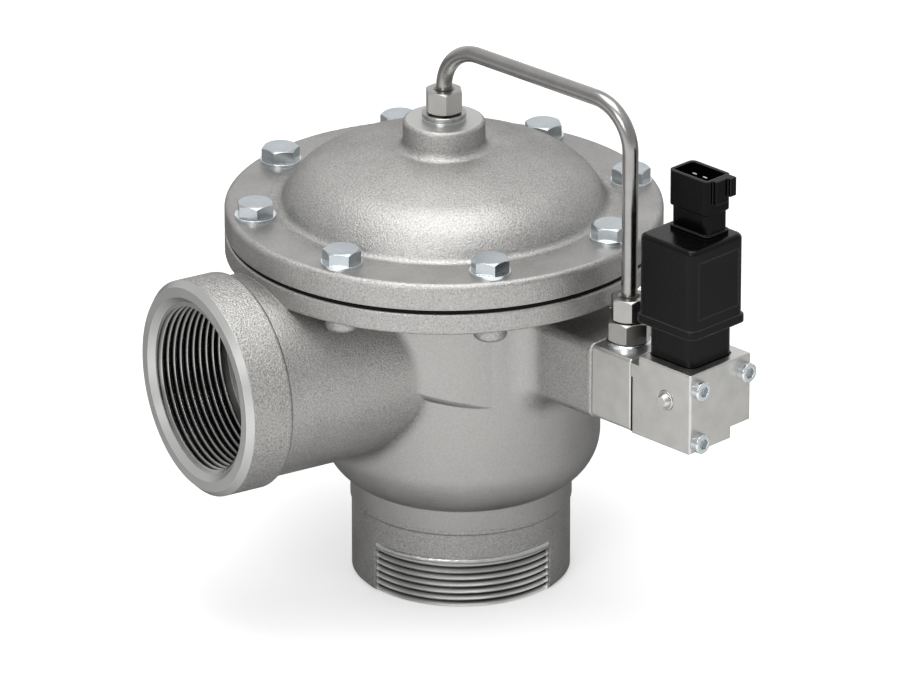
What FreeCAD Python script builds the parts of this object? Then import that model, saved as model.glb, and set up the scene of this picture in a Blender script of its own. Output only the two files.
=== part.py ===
import FreeCAD, Part
import math
import os

# A right-angle dust collector pulse valve. Sizes in millimetres.
# The origin is the centre of the outlet's bottom face, +Z points up and the inlet opens along -X.
# The cover, the clamping flange and the seat share an axis that stands a little towards the inlet.

Vec = FreeCAD.Vector

# General
eps = 1.0                      # how far a cutting tool reaches past the face that it opens
fit = 0.1                      # radial clearance of pieces that stay together
cover_shift = -10.0            # X of the cover's axis, from the outlet's axis
pilot_turn = 284.0             # direction of the pilot arm, in degrees from +X

# Pipe threads of inlet and outlet
thread_r = 43.94
thread_length = 28.0
thread_runout = 2.0
passage_r = 40.0
mouth_chamfer = 1.9

# Outlet neck
neck_r = 55.5
neck_top_z = 53.6
neck_edge = 1.5
window_dirs = (240.0, 60.0)    # where the cast pads of the neck stop and the outer thread shows
window_half = 53.0
collar_step = 0.7              # the thicker top of the neck
collar_low_z = 40.0
outer_thread_top_z = 22.5
outer_land_top_z = 24.5
outer_thread_pitch = 3.7
outer_thread_turns = 6
outer_thread_depth = 2.2
outer_thread_inset = 1.7

# Chamber
chamber_r = 70.5
chamber_round_r = 25.75
upper_r = 68.0
ledge_z = 108.7                # at the cover's axis
ledge_slope = 0.277            # rise towards the inlet
ledge_rise = 4.0
ledge_run = 7.0
wall = 7.3
floor_wall = 8.0

# Body flange, with a boss under each bolt
flange_rim = 13.3              # from the bolts' circle to the flange's edge
flange_z = 175.5
flange_t = 10.8
flange_edge = 1.2
flange_root_r = 6.0
root_bite = 0.3
boss_r = 8.5
boss_drop = 8.0
boss_round = 3.0
opening_r = 61.0
opening_top_r = 74.0
opening_lip = 2.0
opening_cone_h = 10.3

# Seat tube
seat_bore_r = 38.0
seat_land = 3.2
seat_wall = 6.5
tube_foot_z = 48.0
tube_head_z = 150.0
tube_foot_wall = 7.0

# Inlet
inlet_z = 131.0
inlet_boss_gap = 9.0           # from the flange's edge to the boss
inlet_boss_r = 55.0
inlet_boss_l = 26.0
inlet_boss_edge = 3.0
inlet_thread_l = 44.0
inlet_mouth = 3.0
inlet_boss_round = 2.5
inlet_neck_r = 51.5
inlet_fillet = 7.0
inlet_passage_end_x = -48.0    # inside the seat tube's wall, which the passage leaves whole

# Pilot arm, in the pilot frame: U outward from the outlet's axis, V sideways
arm_reach = 2.3                # past the flange's radius
arm_half_v = 22.0
arm_bottom_z = 121.0
arm_top_z = 161.5
arm_edge = 5.0
arm_root_fillet = 16.0
arm_rim = 1.5

# Main diaphragm
diaphragm_t = 2.4
diaphragm_inset = 1.0          # from the flange's edge
dish_depth = 14.0
dish_inner_r = 46.0
dish_gap = 3.0                 # from the dish to the opening's edge
dish_lag = 0.7                 # shifts the upper outline so that the dish keeps its thickness
bleed_r = 1.25
bleed_at_r = 58.0
bleed_dir = 45.0

# Cover
cover_flange_t = 13.3
cover_edge = 3.0
cover_wall = 6.5
dome_gap = 12.7                # from the bolts' circle to the dome's flank
dome_shoulder_r = 34.0
dome_fillet = 4.0
dome_crown_r = 190.0
dome_rise = 30.8               # crown above the cover flange's top
cover_boss_base_r = 21.3
cover_boss_r = 20.6
cover_boss_rise = 44.0         # boss top above the cover flange's top
cover_boss_edge = 2.0
cover_boss_fillet = 4.0
spring_pocket_r = 18.5
spring_pocket = 2.0

# Cover bolts, hexagon heads with washers
bolt_count = 8
bolt_land = 22.7               # from the opening's edge to the bolts' circle
bolt_first_dir = 27.5
bolt_r = 5.0
bolt_length = 30.0
bolt_head_af = 17.0
bolt_head_h = 6.4
bolt_clear = 0.6
bolt_tip_chamfer = 1.0
washer_r = 10.4
washer_t = 2.0
bolt_hole_spare = 1.5
bolt_turns = (10, 25, 40, 5, 20, 12, 18, 33)   # each head stands as it was tightened

# Diaphragm plates and their clamp screw
top_plate_r = 36.0
top_plate_t = 3.0
top_plate_rim = 2.0
top_plate_round = 1.5
seat_disc_r = 43.0
seat_disc_t = 5.0
retainer_r = 30.0
retainer_t = 3.0
clamp_r = 4.0
clamp_head_af = 13.0
clamp_head_h = 5.3
clamp_nut_h = 6.5
clamp_tip = 2.5
clamp_edge = 0.6

# Springs
main_spring_r = 16.5
main_spring_wire_r = 1.3
main_spring_turns = 5
armature_spring_r = 2.3
armature_spring_wire_r = 0.35
armature_spring_turns = 7

# Pilot tube and its fittings
tube_r = 4.0
tube_bore_r = 3.0
tube_rise = 40.0               # from the cover's boss to the run's axis
tube_bend_r = 23.0
tube_entry = 6.4               # how deep the tube stands in a fitting
tube_end_gap = 0.1
fitting_bore_r = 2.5
top_stem_r = 6.5
top_stem_l = 14.0
top_collar_r = 11.1
top_collar_t = 2.7
top_collar_edge = 0.4
top_seal_r = 10.4
top_seal_t = 1.2
stud_r = 6.0
stud_l = 7.5
stud_edge = 0.5
mouth_r = 5.3
mouth_h = 1.5
nut_af = 17.0
nut_h = 11.7
nut_gap = 0.4
nut_low_h = 9.3
nut_cone = 2.5
nut_hole_gap = 0.2
nut_mouth_r = 5.4
ferrule_r = 5.0
ferrule_tip_r = 4.3
ferrule_tip_h = 1.0
ferrule_back_r = 4.9
ferrule_back_h = 1.5
ferrule_land = 0.4
low_fit_from_arm = 11.6
low_fit_v = -7.0
low_stem_r = 4.86
low_stem_l = 12.0
low_hex_af = 19.0
low_hex_h = 11.0
low_seal_r = 11.4
low_seal_t = 2.5
low_seal_edge = 0.7
top_nut_turn = 5.0
low_nut_turn = 5.0
low_hex_turn = -10.0

# Pilot blocks
block_half_v = 21.5
block_bottom_z = 123.0
base_round = 2.0
base_edge = 0.5
base_block_l = 26.7
cover_block_l = 40.7
cover_block_rise = 3.5         # above the base block
block_edge = 1.0
lip_l = 5.5                    # the cover block's first stretch is lower
lip_drop = 5.0
pad_gap = 1.4
pad_top_drop = 12.0
pad_inset = 0.4
notch_v = 13.7
notch_h = 6.0
port_v = -4.5
port_z = 155.0
port_r = 1.6
riser_r = 2.5
vent_r = 2.0
vent_mouth_r = 4.5
vent_mouth_h = 6.0

# Cap screws of the pilot blocks
cap_v = 16.3
cap_high_drop = 4.9            # below the base block's top
cap_low_rise = 5.6             # above the blocks' bottom
cap_r = 3.0
cap_head_r = 5.0
cap_head_h = 4.6
cap_hex_af = 5.0
cap_hex_depth = 3.0
cap_grip = 12.0                # length in the arm
cap_hole_spare = 2.0
cap_clear = 0.2
cap_edge = 0.6

# Plug in the side of the cover block
plug_from_base = 24.0
plug_drop = 17.6               # below the cover block's top
plug_r = 5.0
plug_t = 1.8
plug_dome = 0.9

# Solenoid
coil_from_base = 20.0
pocket_side = 31.7
pocket_depth = 1.2
pocket_corner = 5.7
foot_side = 30.3
foot_corner = 5.0
foot_h = 18.7
collar_side = 39.8
collar_h = 4.0
box_side = 37.8
box_corner = 5.0
box_h = 42.5
box_top_round = 2.5
shell_t = 2.5
collar_round = 0.8
panel_depth = 0.35
panel_half_v = 14.0
panel_from_collar = 5.5
panel_from_top = 7.0
guide_r = 5.6
guide_wall = 0.5
guide_flange_r = 9.0
guide_flange_t = 2.6
guide_from_top = 7.0
core_from_collar = 3.5
core_tip = 2.0
core_tip_r = 4.0
ring_seal_t = 1.6
ring_seal_r = 8.6
well_r = 9.3
cell_bottom_z = 151.0
seat_insert_r = 4.0
seat_insert_l = 7.0
seat_nozzle_r = 1.8
seat_cone_r = 2.6
seat_nozzle_h = 2.4
seat_orifice_r = 0.9
armature_r = 5.0
armature_lift = 1.8
armature_foot_z = 154.6
armature_seal_r = 3.0
armature_seal_t = 2.4
armature_bore_r = 3.1
armature_bore_z = 178.0
bobbin_flange_r = 13.0
bobbin_flange_t = 1.6
bobbin_wall = 0.9
bobbin_from_collar = 1.7
bobbin_from_top = 8.5
winding_r = 12.2

# Connector on the coil
plug_shift_v = 5.5
socket_ring_u = 26.5
socket_ring_v = 17.2
socket_ring_h = 2.0
socket_neck_u = 24.5
socket_neck_v = 15.3
socket_neck_h = 10.5
socket_u = 26.5
socket_v = 17.5
socket_h = 18.5
socket_corner = 3.0
socket_edge = 0.8
latch_from_v = 4.0
socket_wall = 1.8
socket_floor_t = 3.5
latch_v = 9.0
latch_out = 2.6
latch_from_low = 6.0
catch_v = 3.0
catch_out = 4.4
catch_from_low = 9.0
pin_gap = 7.0
pin_u = 2.6
pin_v = 0.8
pin_drop = 2.0                 # below the connector's rim

# Values that follow from the ones above
bolt_circle_r = opening_top_r + bolt_land
flange_r = bolt_circle_r + flange_rim
diaphragm_r = flange_r - diaphragm_inset
dish_outer_r = opening_top_r - dish_gap
dome_flank_r = bolt_circle_r - dome_gap
inlet_face_x = cover_shift - flange_r - inlet_boss_gap - inlet_boss_l
clamp_z = flange_z + flange_t
cover_z = clamp_z + diaphragm_t
cover_top_z = cover_z + cover_flange_t
centre_z = clamp_z - dish_depth
seat_z = centre_z - seat_disc_t
boss_top_z = cover_top_z + cover_boss_rise
tube_run_z = boss_top_z + tube_rise
upper_cavity_z = ledge_z + ledge_slope * upper_r + wall
cover_axis = Vec(cover_shift, 0, 0)
arm_end_u = flange_r + arm_reach
base_end_u = arm_end_u + base_block_l
cover_block_u = base_end_u + cover_block_l
lip_u = base_end_u + lip_l
cover_block_z = arm_top_z + cover_block_rise
lip_z = cover_block_z - lip_drop
pad_top_z = cover_block_z - pad_top_drop
cap_high_z = arm_top_z - cap_high_drop
cap_low_z = block_bottom_z + cap_low_rise
low_fit_u = arm_end_u + low_fit_from_arm
plug_u = base_end_u + plug_from_base
plug_z = cover_block_z - plug_drop
coil_u = base_end_u + coil_from_base
pocket_z = cover_block_z - pocket_depth
foot_top_z = pocket_z + foot_h
collar_top_z = foot_top_z + collar_h
box_top_z = collar_top_z + box_h
panel_low_z = collar_top_z + panel_from_collar
panel_top_z = box_top_z - panel_from_top
guide_top_z = box_top_z - guide_from_top
core_bottom_z = collar_top_z + core_from_collar
bobbin_z = collar_top_z + bobbin_from_collar
bobbin_top_z = box_top_z - bobbin_from_top
socket_neck_top_z = box_top_z + socket_ring_h + socket_neck_h
socket_top_z = socket_neck_top_z + socket_h
socket_floor_z = socket_neck_top_z + socket_floor_t
latch_low_z = socket_neck_top_z + latch_from_low
catch_low_z = socket_neck_top_z + catch_from_low
pin_top_z = socket_top_z - pin_drop
plate_top_z = centre_z + diaphragm_t + top_plate_t
spring_top_z = cover_top_z + dome_rise - cover_wall + spring_pocket - 1.0


def outline_edges(start, steps, place):
    """Edges through the points: a pair is a straight edge's end, two pairs an arc's middle and end."""
    edges = []
    here = start
    for step in steps:
        if isinstance(step[0], tuple):
            middle, end = step
            edges.append(Part.Arc(place(here), place(middle), place(end)).toShape())
        else:
            end = step
            edges.append(Part.makeLine(place(here), place(end)))
        here = end
    if place(here).distanceToPoint(place(start)) > 1e-7:
        edges.append(Part.makeLine(place(here), place(start)))
    return edges


def turned(start, steps, base=Vec(0, 0, 0), axis=Vec(0, 0, 1), out=Vec(1, 0, 0)):
    """Solid of revolution of an outline given as (radius, height along the axis)."""
    edges = outline_edges(start, steps, lambda p: base + out * p[0] + axis * p[1])
    return Part.Face(Part.Wire(edges)).revolve(base, axis, 360)


def rod(radius, z0, z1, x=0.0, y=0.0):
    return Part.makeCylinder(radius, z1 - z0, Vec(x, y, z0))


def ring(inner_r, outer_r, z0, z1, x=0.0, y=0.0):
    return rod(outer_r, z0, z1, x, y).cut(rod(inner_r, z0 - eps, z1 + eps, x, y))


def cap_arc(radius, height, rise):
    """Arc of a round cap from its rim to the axis, as a middle point and an end."""
    ball_r = (radius ** 2 + rise ** 2) / (2 * rise)
    half = math.asin(radius / ball_r) / 2
    middle = (ball_r * math.sin(half), height + rise - ball_r * (1 - math.cos(half)))
    return middle, (0, height + rise)


def box(x0, x1, y0, y1, z0, z1):
    return Part.makeBox(x1 - x0, y1 - y0, z1 - z0, Vec(x0, y0, z0))


def upright_edges(shape):
    return [e for e in shape.Edges if e.Length > 1e-6 and is_upright(e)]


def is_upright(edge):
    first, last = edge.Vertexes[0].Point, edge.Vertexes[-1].Point
    return abs(first.x - last.x) < 1e-6 and abs(first.y - last.y) < 1e-6


def pillar(size_x, size_y, corner, z0, z1, x=0.0, y=0.0):
    """Upright block with rounded corners, centred on x and y."""
    block = box(x - size_x / 2, x + size_x / 2, y - size_y / 2, y + size_y / 2, z0, z1)
    return block.makeFillet(corner, upright_edges(block))


def edges_at_height(shape, z):
    level = []
    for edge in shape.Edges:
        bounds = edge.BoundBox
        if abs(bounds.ZMin - z) < 1e-4 and abs(bounds.ZMax - z) < 1e-4:
            level.append(edge)
    return level


def circle_edges(shape, radius, z):
    """The edges at one height that lie on one circle."""
    found = []
    for edge in edges_at_height(shape, z):
        if isinstance(edge.Curve, Part.Circle) and abs(edge.Curve.Radius - radius) < 1e-4:
            found.append(edge)
    return found


def hexagon(across_flats, z0, z1, low_chamfer=True, high_chamfer=True, x=0.0, y=0.0, turn=0.0):
    """Hexagon prism whose corners are turned off at 30 degrees."""
    corner_r = across_flats / math.sqrt(3)
    points = []
    for k in range(7):
        angle = math.radians(turn + 60 * k)
        points.append(Vec(corner_r * math.cos(angle), corner_r * math.sin(angle), z0))
    prism = Part.Face(Part.makePolygon(points)).extrude(Vec(0, 0, z1 - z0))
    flat_r = across_flats / 2 * 0.97
    drop = (corner_r + 0.2 - flat_r) * math.tan(math.radians(30))
    outline = [(0, z0)]
    outline += [(flat_r, z0), (corner_r + 0.2, z0 + drop)] if low_chamfer else [(corner_r + 0.2, z0)]
    outline += [(corner_r + 0.2, z1 - drop), (flat_r, z1)] if high_chamfer else [(corner_r + 0.2, z1)]
    outline += [(0, z1)]
    solid = prism.common(turned(outline[0], outline[1:]))
    solid.translate(Vec(x, y, 0))
    return solid


def to_pilot(shape):
    """Turns a shape from the pilot frame into the valve's own."""
    placed = shape.copy()
    placed.rotate(Vec(0, 0, 0), Vec(0, 0, 1), pilot_turn)
    return placed


def bolt_places():
    for k in range(bolt_count):
        angle = math.radians(bolt_first_dir + 360 * k / bolt_count)
        yield cover_shift + bolt_circle_r * math.cos(angle), bolt_circle_r * math.sin(angle)


def sector(direction, half_angle, reach, z0, z1):
    """Wedge of a disc about the outlet's axis."""
    first = math.radians(direction - half_angle)
    last = math.radians(direction + half_angle)
    corner = reach / math.cos(math.radians(half_angle / 2)) * 1.2
    middle = math.radians(direction)
    points = [Vec(0, 0, z0)]
    for angle in (first, middle, last):
        points.append(Vec(corner * math.cos(angle), corner * math.sin(angle), z0))
    points.append(points[0])
    return Part.Face(Part.makePolygon(points)).extrude(Vec(0, 0, z1 - z0))


def coil_spring(centre_r, wire_r, turns, z0, z1):
    """Round wire wound upwards in half turns, each of them a flat arc that leans up its side."""
    rise = (z1 - z0 - 2 * wire_r) / turns / 2
    lean = math.atan2(rise / 2, centre_r)
    halves = []
    for k in range(2 * turns):
        side = 1 if k % 2 == 0 else -1
        start = Vec(side * centre_r, 0, z0 + wire_r + k * rise)
        middle = Vec(0, 0, start.z + rise / 2)
        section = Part.Face(Part.Wire(Part.makeCircle(wire_r, start, Vec(0, 1, 0))))
        halves.append(section.revolve(middle, Vec(side * math.sin(lean), 0, math.cos(lean)), 180))
    return halves[0].fuse(halves[1:]).removeSplitter()


# The cast body
def chamber_outline():
    """Outer form below the flange about the outlet's axis."""
    centre_r = chamber_r - chamber_round_r
    crease = neck_r + collar_step - centre_r
    round_z = neck_top_z + math.sqrt(chamber_round_r ** 2 - crease ** 2)
    bend = (math.atan2(neck_top_z - round_z, crease)) / 2
    middle = (centre_r + chamber_round_r * math.cos(bend), round_z + chamber_round_r * math.sin(bend))
    return centre_r, round_z, middle


def on_inlet_neck(edge):
    points = edge.discretize(9)
    far = all(abs(math.hypot(p.y, p.z - inlet_z) - inlet_neck_r) < 0.05 for p in points)
    return far and all(p.x > inlet_face_x + inlet_boss_l + eps for p in points)


def inlet_outside():
    shoulder = inlet_boss_l
    start_round = (inlet_boss_r, shoulder - inlet_boss_round)
    near = inlet_boss_round * (1 - math.sqrt(0.5))
    middle = (inlet_boss_r - near, shoulder - near)
    steps = [(inlet_boss_r - inlet_boss_edge, 0), (inlet_boss_r, inlet_boss_edge), start_round]
    steps += [(middle, (inlet_boss_r - inlet_boss_round, shoulder)), (inlet_neck_r, shoulder)]
    steps += [(inlet_neck_r, -inlet_face_x - upper_r / 2), (0, -inlet_face_x - upper_r / 2)]
    return turned((0, 0), steps, Vec(inlet_face_x, 0, inlet_z), Vec(1, 0, 0), Vec(0, 0, 1))


def arm_outside():
    arm = box(chamber_r / 2, arm_end_u, -arm_half_v, arm_half_v, arm_bottom_z, arm_top_z)
    long_edges = [e for e in arm.Edges if abs(e.BoundBox.XLength - (arm_end_u - chamber_r / 2)) < 1e-6]
    arm = arm.makeFillet(arm_edge, long_edges)
    rim = [e for e in arm.Edges if e.BoundBox.XMin > arm_end_u - 1e-4]
    return to_pilot(arm.makeFillet(arm_rim, rim))


def lower_chamber():
    """Chamber wall about the outlet's axis, joined to the inlet and the arm by cast fillets."""
    centre_r, round_z, middle = chamber_outline()
    high = clamp_z + 4 * inlet_fillet
    collar_r = neck_r + collar_step
    steps = [(neck_r - neck_edge, 0), (neck_r, neck_edge), (neck_r, collar_low_z)]
    steps += [(collar_r, collar_low_z + collar_step), (collar_r, neck_top_z)]
    steps += [(middle, (chamber_r, round_z)), (chamber_r, high), (0, high)]
    core = turned((0, 0), steps)
    joined = core.fuse(inlet_outside()).removeSplitter()
    joined = joined.makeFillet(inlet_fillet, [e for e in joined.Edges if on_inlet_neck(e)])
    with_arm = joined.fuse(arm_outside()).removeSplitter()
    root = [e for e in with_arm.Edges if on_arm_root(e)]
    with_arm = with_arm.makeFillet(arm_root_fillet, root)
    return with_arm.cut(rod(flange_r - eps, clamp_z - eps, high + eps, cover_shift))


def on_arm_root(edge):
    """Edges where the arm meets the chamber wall."""
    back = edge.copy()
    back.rotate(Vec(0, 0, 0), Vec(0, 0, 1), -pilot_turn)
    points = back.discretize(5)
    on_wall = all(abs(math.hypot(p.x, p.y) - chamber_r) < 0.02 for p in points)
    level = all(arm_bottom_z - 0.02 < p.z < arm_top_z + 0.02 for p in points)
    return on_wall and level and all(p.x > 0 and abs(p.y) < arm_half_v + 0.02 for p in points)


def upper_chamber():
    """Wider chamber about the cover's axis, which ends below in a soft ledge."""
    high = clamp_z + 4 * inlet_fillet
    core = rod(upper_r, neck_top_z, high, cover_shift)
    joined = core.fuse(inlet_outside()).removeSplitter()
    joined = joined.makeFillet(inlet_fillet, [e for e in joined.Edges if on_inlet_neck(e)])
    return joined.common([sloping_ledge(high)])


def sloping_ledge(high):
    """Room of the upper chamber above its round ledge, which slopes down away from the inlet."""
    near = 1 - math.sqrt(0.5)
    middle = (upper_r - ledge_run * near, ledge_z + ledge_rise * near)
    reach = upper_r + 2 * inlet_fillet
    top = high + ledge_slope * reach
    steps = [(upper_r - ledge_run, ledge_z), (middle, (upper_r, ledge_z + ledge_rise))]
    steps += [(reach, ledge_z + ledge_rise), (reach, top), (0, top)]
    slope = FreeCAD.Matrix()
    slope.A31 = -ledge_slope
    room = turned((0, ledge_z), steps).transformGeometry(slope)
    room.translate(cover_axis)
    return room.common(rod(reach, neck_top_z, clamp_z - eps, cover_shift))


def body_flange():
    plate = rod(flange_r, flange_z, clamp_z, cover_shift)
    rims = circle_edges(plate, flange_r, flange_z) + circle_edges(plate, flange_r, clamp_z)
    return plate.makeFillet(flange_edge, rims)


def flange_root(wall_r, x):
    """Ring that rounds the corner between a round wall and the flange above it."""
    foot = (wall_r - root_bite, flange_z - flange_root_r - root_bite)
    rim = (wall_r + flange_root_r, flange_z + root_bite)
    near = flange_root_r * (1 - math.sqrt(0.5))
    middle = (wall_r + near, flange_z - near)
    inner = wall_r - wall / 2
    steps = [foot, (middle, rim), (inner, flange_z + root_bite)]
    return turned((inner, flange_z - flange_root_r - root_bite), steps, Vec(x, 0, 0))


def bolt_boss(x, y):
    boss = rod(boss_r, flange_z - boss_drop, flange_z + eps, x, y)
    return boss.makeFillet(boss_round, edges_at_height(boss, flange_z - boss_drop))


def body_outside():
    pieces = [upper_chamber(), body_flange()]
    pieces += [flange_root(chamber_r, 0.0), flange_root(upper_r, cover_shift)]
    pieces += [bolt_boss(x, y) for x, y in bolt_places()]
    return lower_chamber().fuse(pieces).removeSplitter()


def body_inside():
    """The chamber round the seat tube, open to the diaphragm above and to the inlet."""
    centre_r, round_z, _ = chamber_outline()
    inner_round = chamber_round_r - wall
    slant = inner_round * math.sqrt(0.5)
    middle = (centre_r + slant, round_z - slant)
    steps = [(centre_r, round_z - inner_round), (middle, (centre_r + inner_round, round_z))]
    steps += [(centre_r + inner_round, flange_z - floor_wall), (0, flange_z - floor_wall)]
    low = turned((0, round_z - inner_round), steps)
    high = rod(upper_r - wall, upper_cavity_z, flange_z - floor_wall, cover_shift)
    mouth_steps = [(opening_r, flange_z - 2 * floor_wall), (opening_r, clamp_z - opening_cone_h)]
    mouth_steps += [(opening_top_r, clamp_z - opening_lip), (opening_top_r, clamp_z + eps), (0, clamp_z + eps)]
    mouth = turned((0, flange_z - 2 * floor_wall), mouth_steps, cover_axis)
    return low.fuse([high, mouth, inlet_passage()]).cut(seat_tube())


def seat_tube():
    """Leaning tube from the outlet to the seat, with a narrow flat land at its top."""
    foot = Part.Wire(Part.makeCircle(passage_r + tube_foot_wall, Vec(0, 0, tube_foot_z)))
    head = Part.Wire(Part.makeCircle(seat_bore_r + seat_wall, Vec(cover_shift, 0, tube_head_z)))
    lean = Part.makeLoft([foot, head], True, True)
    rim_r = seat_bore_r + seat_wall
    land_r = seat_bore_r + seat_land
    steps = [(rim_r, tube_head_z), (rim_r, seat_z - (rim_r - land_r)), (land_r, seat_z), (0, seat_z)]
    return lean.fuse(turned((0, tube_head_z), steps, cover_axis))


def outlet_passage():
    steps = [(thread_r + mouth_chamfer, -eps), (thread_r + mouth_chamfer, 0), (thread_r, mouth_chamfer)]
    steps += [(thread_r, thread_length), (passage_r, thread_length + thread_runout), (passage_r, tube_foot_z)]
    steps += [(0, tube_foot_z)]
    port = turned((0, -eps), steps)
    low = Part.Wire(Part.makeCircle(passage_r, Vec(0, 0, tube_foot_z)))
    high = Part.Wire(Part.makeCircle(seat_bore_r, Vec(cover_shift, 0, tube_head_z)))
    lean = Part.makeLoft([low, high], True, True)
    return port.fuse([lean, rod(seat_bore_r, tube_head_z, seat_z + eps, cover_shift)])


def inlet_passage():
    length = inlet_passage_end_x - inlet_face_x
    steps = [(thread_r + inlet_mouth, -eps), (thread_r + inlet_mouth, 0), (thread_r, inlet_mouth)]
    steps += [(thread_r, inlet_thread_l), (passage_r, inlet_thread_l + thread_runout)]
    steps += [(passage_r, length), (0, length)]
    base = Vec(inlet_face_x, 0, inlet_z)
    return turned((0, -eps), steps, base, Vec(1, 0, 0), Vec(0, 0, 1))


def thread_windows():
    """Two stretches of the neck where the pads stop and an outer thread is cut."""
    outer = neck_r + 5 * eps
    crest_r = neck_r - outer_thread_inset
    land = ring(crest_r, outer, -eps, outer_land_top_z)
    root_r = crest_r - outer_thread_depth
    steps = [(outer, outer_thread_top_z), (crest_r, outer_thread_top_z)]
    half = outer_thread_pitch / 2
    for k in range(outer_thread_turns):
        top = outer_thread_top_z - k * outer_thread_pitch
        steps += [(root_r, top - half), (crest_r, top - 2 * half)]
    steps += [(root_r, -eps), (outer, -eps)]
    grooves = turned(steps[0], steps[1:])
    cutters = land.fuse(grooves)
    high = outer_land_top_z + 3 * eps
    wedges = [sector(d, window_half, outer, -2 * eps, high) for d in window_dirs]
    return [cutters.common(wedge) for wedge in wedges]


def cap_screw_axes():
    return [(-cap_v, cap_high_z), (cap_v, cap_high_z), (-cap_v, cap_low_z)]


def arm_holes():
    holes = []
    for v, z in cap_screw_axes():
        start = Vec(arm_end_u - cap_grip - cap_hole_spare, v, z)
        depth = cap_grip + cap_hole_spare + eps
        holes.append(to_pilot(Part.makeCylinder(cap_r + fit, depth, start, Vec(1, 0, 0))))
    return holes


def make_valve_body():
    low = cover_top_z + washer_t - bolt_length - bolt_hole_spare
    holes = [rod(bolt_r + fit, low, clamp_z + eps, x, y) for x, y in bolt_places()]
    tools = [body_inside(), outlet_passage()]
    tools += thread_windows() + arm_holes() + holes
    return body_outside().cut(tools).removeSplitter()


# The cover
def dome_profile(offset, base_z):
    """Start on the flank and the two arcs up to the axis, with the whole dome moved inwards by an offset."""
    crown_r = dome_crown_r - offset
    shoulder_r = dome_shoulder_r - offset
    crown_c = cover_top_z + dome_rise - dome_crown_r
    shoulder_c = dome_flank_r - dome_shoulder_r
    reach = dome_crown_r - dome_shoulder_r
    shoulder_z = crown_c + math.sqrt(reach ** 2 - shoulder_c ** 2)
    lean = math.atan2(shoulder_z - crown_c, shoulder_c)
    foot = math.asin((base_z - shoulder_z) / shoulder_r) if base_z > shoulder_z - shoulder_r else 0.0

    def on_shoulder(angle):
        return shoulder_c + shoulder_r * math.cos(angle), shoulder_z + shoulder_r * math.sin(angle)

    crown_half = (lean + math.pi / 2) / 2
    crown_middle = (crown_r * math.cos(crown_half), crown_c + crown_r * math.sin(crown_half))
    arcs = [(on_shoulder((foot + lean) / 2), on_shoulder(lean))]
    arcs.append((crown_middle, (0, crown_c + crown_r)))
    return on_shoulder(foot), arcs


def make_cover():
    start, steps = dome_profile(0.0, cover_top_z)
    outline = [(flange_r, cover_z), (flange_r, cover_top_z), start] + steps
    solid = turned((0, cover_z), outline, cover_axis)
    solid = solid.makeFillet(cover_edge, circle_edges(solid, flange_r, cover_top_z))
    solid = solid.makeFillet(dome_fillet, circle_edges(solid, start[0], cover_top_z))
    sides = [(cover_boss_base_r, cover_top_z), (cover_boss_r, boss_top_z), (0, boss_top_z)]
    solid = solid.fuse(turned((0, cover_top_z), sides, cover_axis)).removeSplitter()
    solid = solid.makeFillet(cover_boss_fillet, [e for e in solid.Edges if is_boss_foot(e)])
    solid = solid.makeFillet(cover_boss_edge, circle_edges(solid, cover_boss_r, boss_top_z))
    low, high = cover_z - eps, cover_top_z + eps
    holes = [rod(bolt_r + bolt_clear, low, high, x, y) for x, y in bolt_places()]
    return solid.cut([cover_inside()] + holes).removeSplitter()


def is_boss_foot(edge):
    bounds = edge.BoundBox
    level = bounds.ZMax - bounds.ZMin < 1e-3
    between = cover_top_z + cover_edge < bounds.ZMin < boss_top_z - cover_edge
    return level and between and cover_boss_r < bounds.XLength / 2 < cover_boss_base_r


def cover_inside():
    """Pressure chamber under the dome, the spring's pocket and the hole for the tube fitting."""
    start, steps = dome_profile(cover_wall, cover_z + cover_wall)
    outline = [(start[0], cover_z - eps), start] + steps
    chamber = turned((0, cover_z - eps), outline, cover_axis)
    pocket = rod(spring_pocket_r, spring_top_z - 2 * spring_pocket, spring_top_z, cover_shift)
    hole = rod(top_stem_r + fit, spring_top_z - spring_pocket, boss_top_z + eps, cover_shift)
    return chamber.fuse([pocket, hole])


# Cover bolts and washers
def make_cover_bolts():
    under = cover_top_z + washer_t
    tip = under - bolt_length
    steps = [(bolt_r - bolt_tip_chamfer, tip), (bolt_r, tip + bolt_tip_chamfer)]
    steps += [(bolt_r, under), (0, under)]
    shank = turned((0, tip), steps)
    bolts = []
    for k, (x, y) in enumerate(bolt_places()):
        head = hexagon(bolt_head_af, under, under + bolt_head_h, False, True, 0, 0, bolt_turns[k])
        bolt = shank.fuse(head).removeSplitter()
        bolt.translate(Vec(x, y, 0))
        bolts.append(bolt)
    return Part.makeCompound(bolts)


def make_cover_washers():
    washers = []
    for x, y in bolt_places():
        washer = ring(bolt_r + fit, washer_r, cover_top_z, cover_top_z + washer_t, x, y)
        washers.append(washer)
    return Part.makeCompound(washers)


# The main diaphragm and what it carries
def make_main_diaphragm():
    """Rubber disc, clamped at its rim and dished down to the seat."""
    low = [(clamp_r + fit, centre_z), (dish_inner_r, centre_z)]
    low += [(dish_outer_r, clamp_z), (diaphragm_r, clamp_z)]
    high = [(diaphragm_r, cover_z), (dish_outer_r - dish_lag, cover_z)]
    high += [(dish_inner_r - dish_lag, centre_z + diaphragm_t), (clamp_r + fit, centre_z + diaphragm_t)]
    disc = turned(low[0], low[1:] + high, cover_axis)
    angle = math.radians(bleed_dir)
    x, y = cover_shift + bleed_at_r * math.cos(angle), bleed_at_r * math.sin(angle)
    holes = [rod(bleed_r, centre_z - eps, cover_z + eps, x, y)]
    holes += [rod(bolt_r + bolt_clear, clamp_z - eps, cover_z + eps, x, y) for x, y in bolt_places()]
    return disc.cut(holes)


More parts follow.
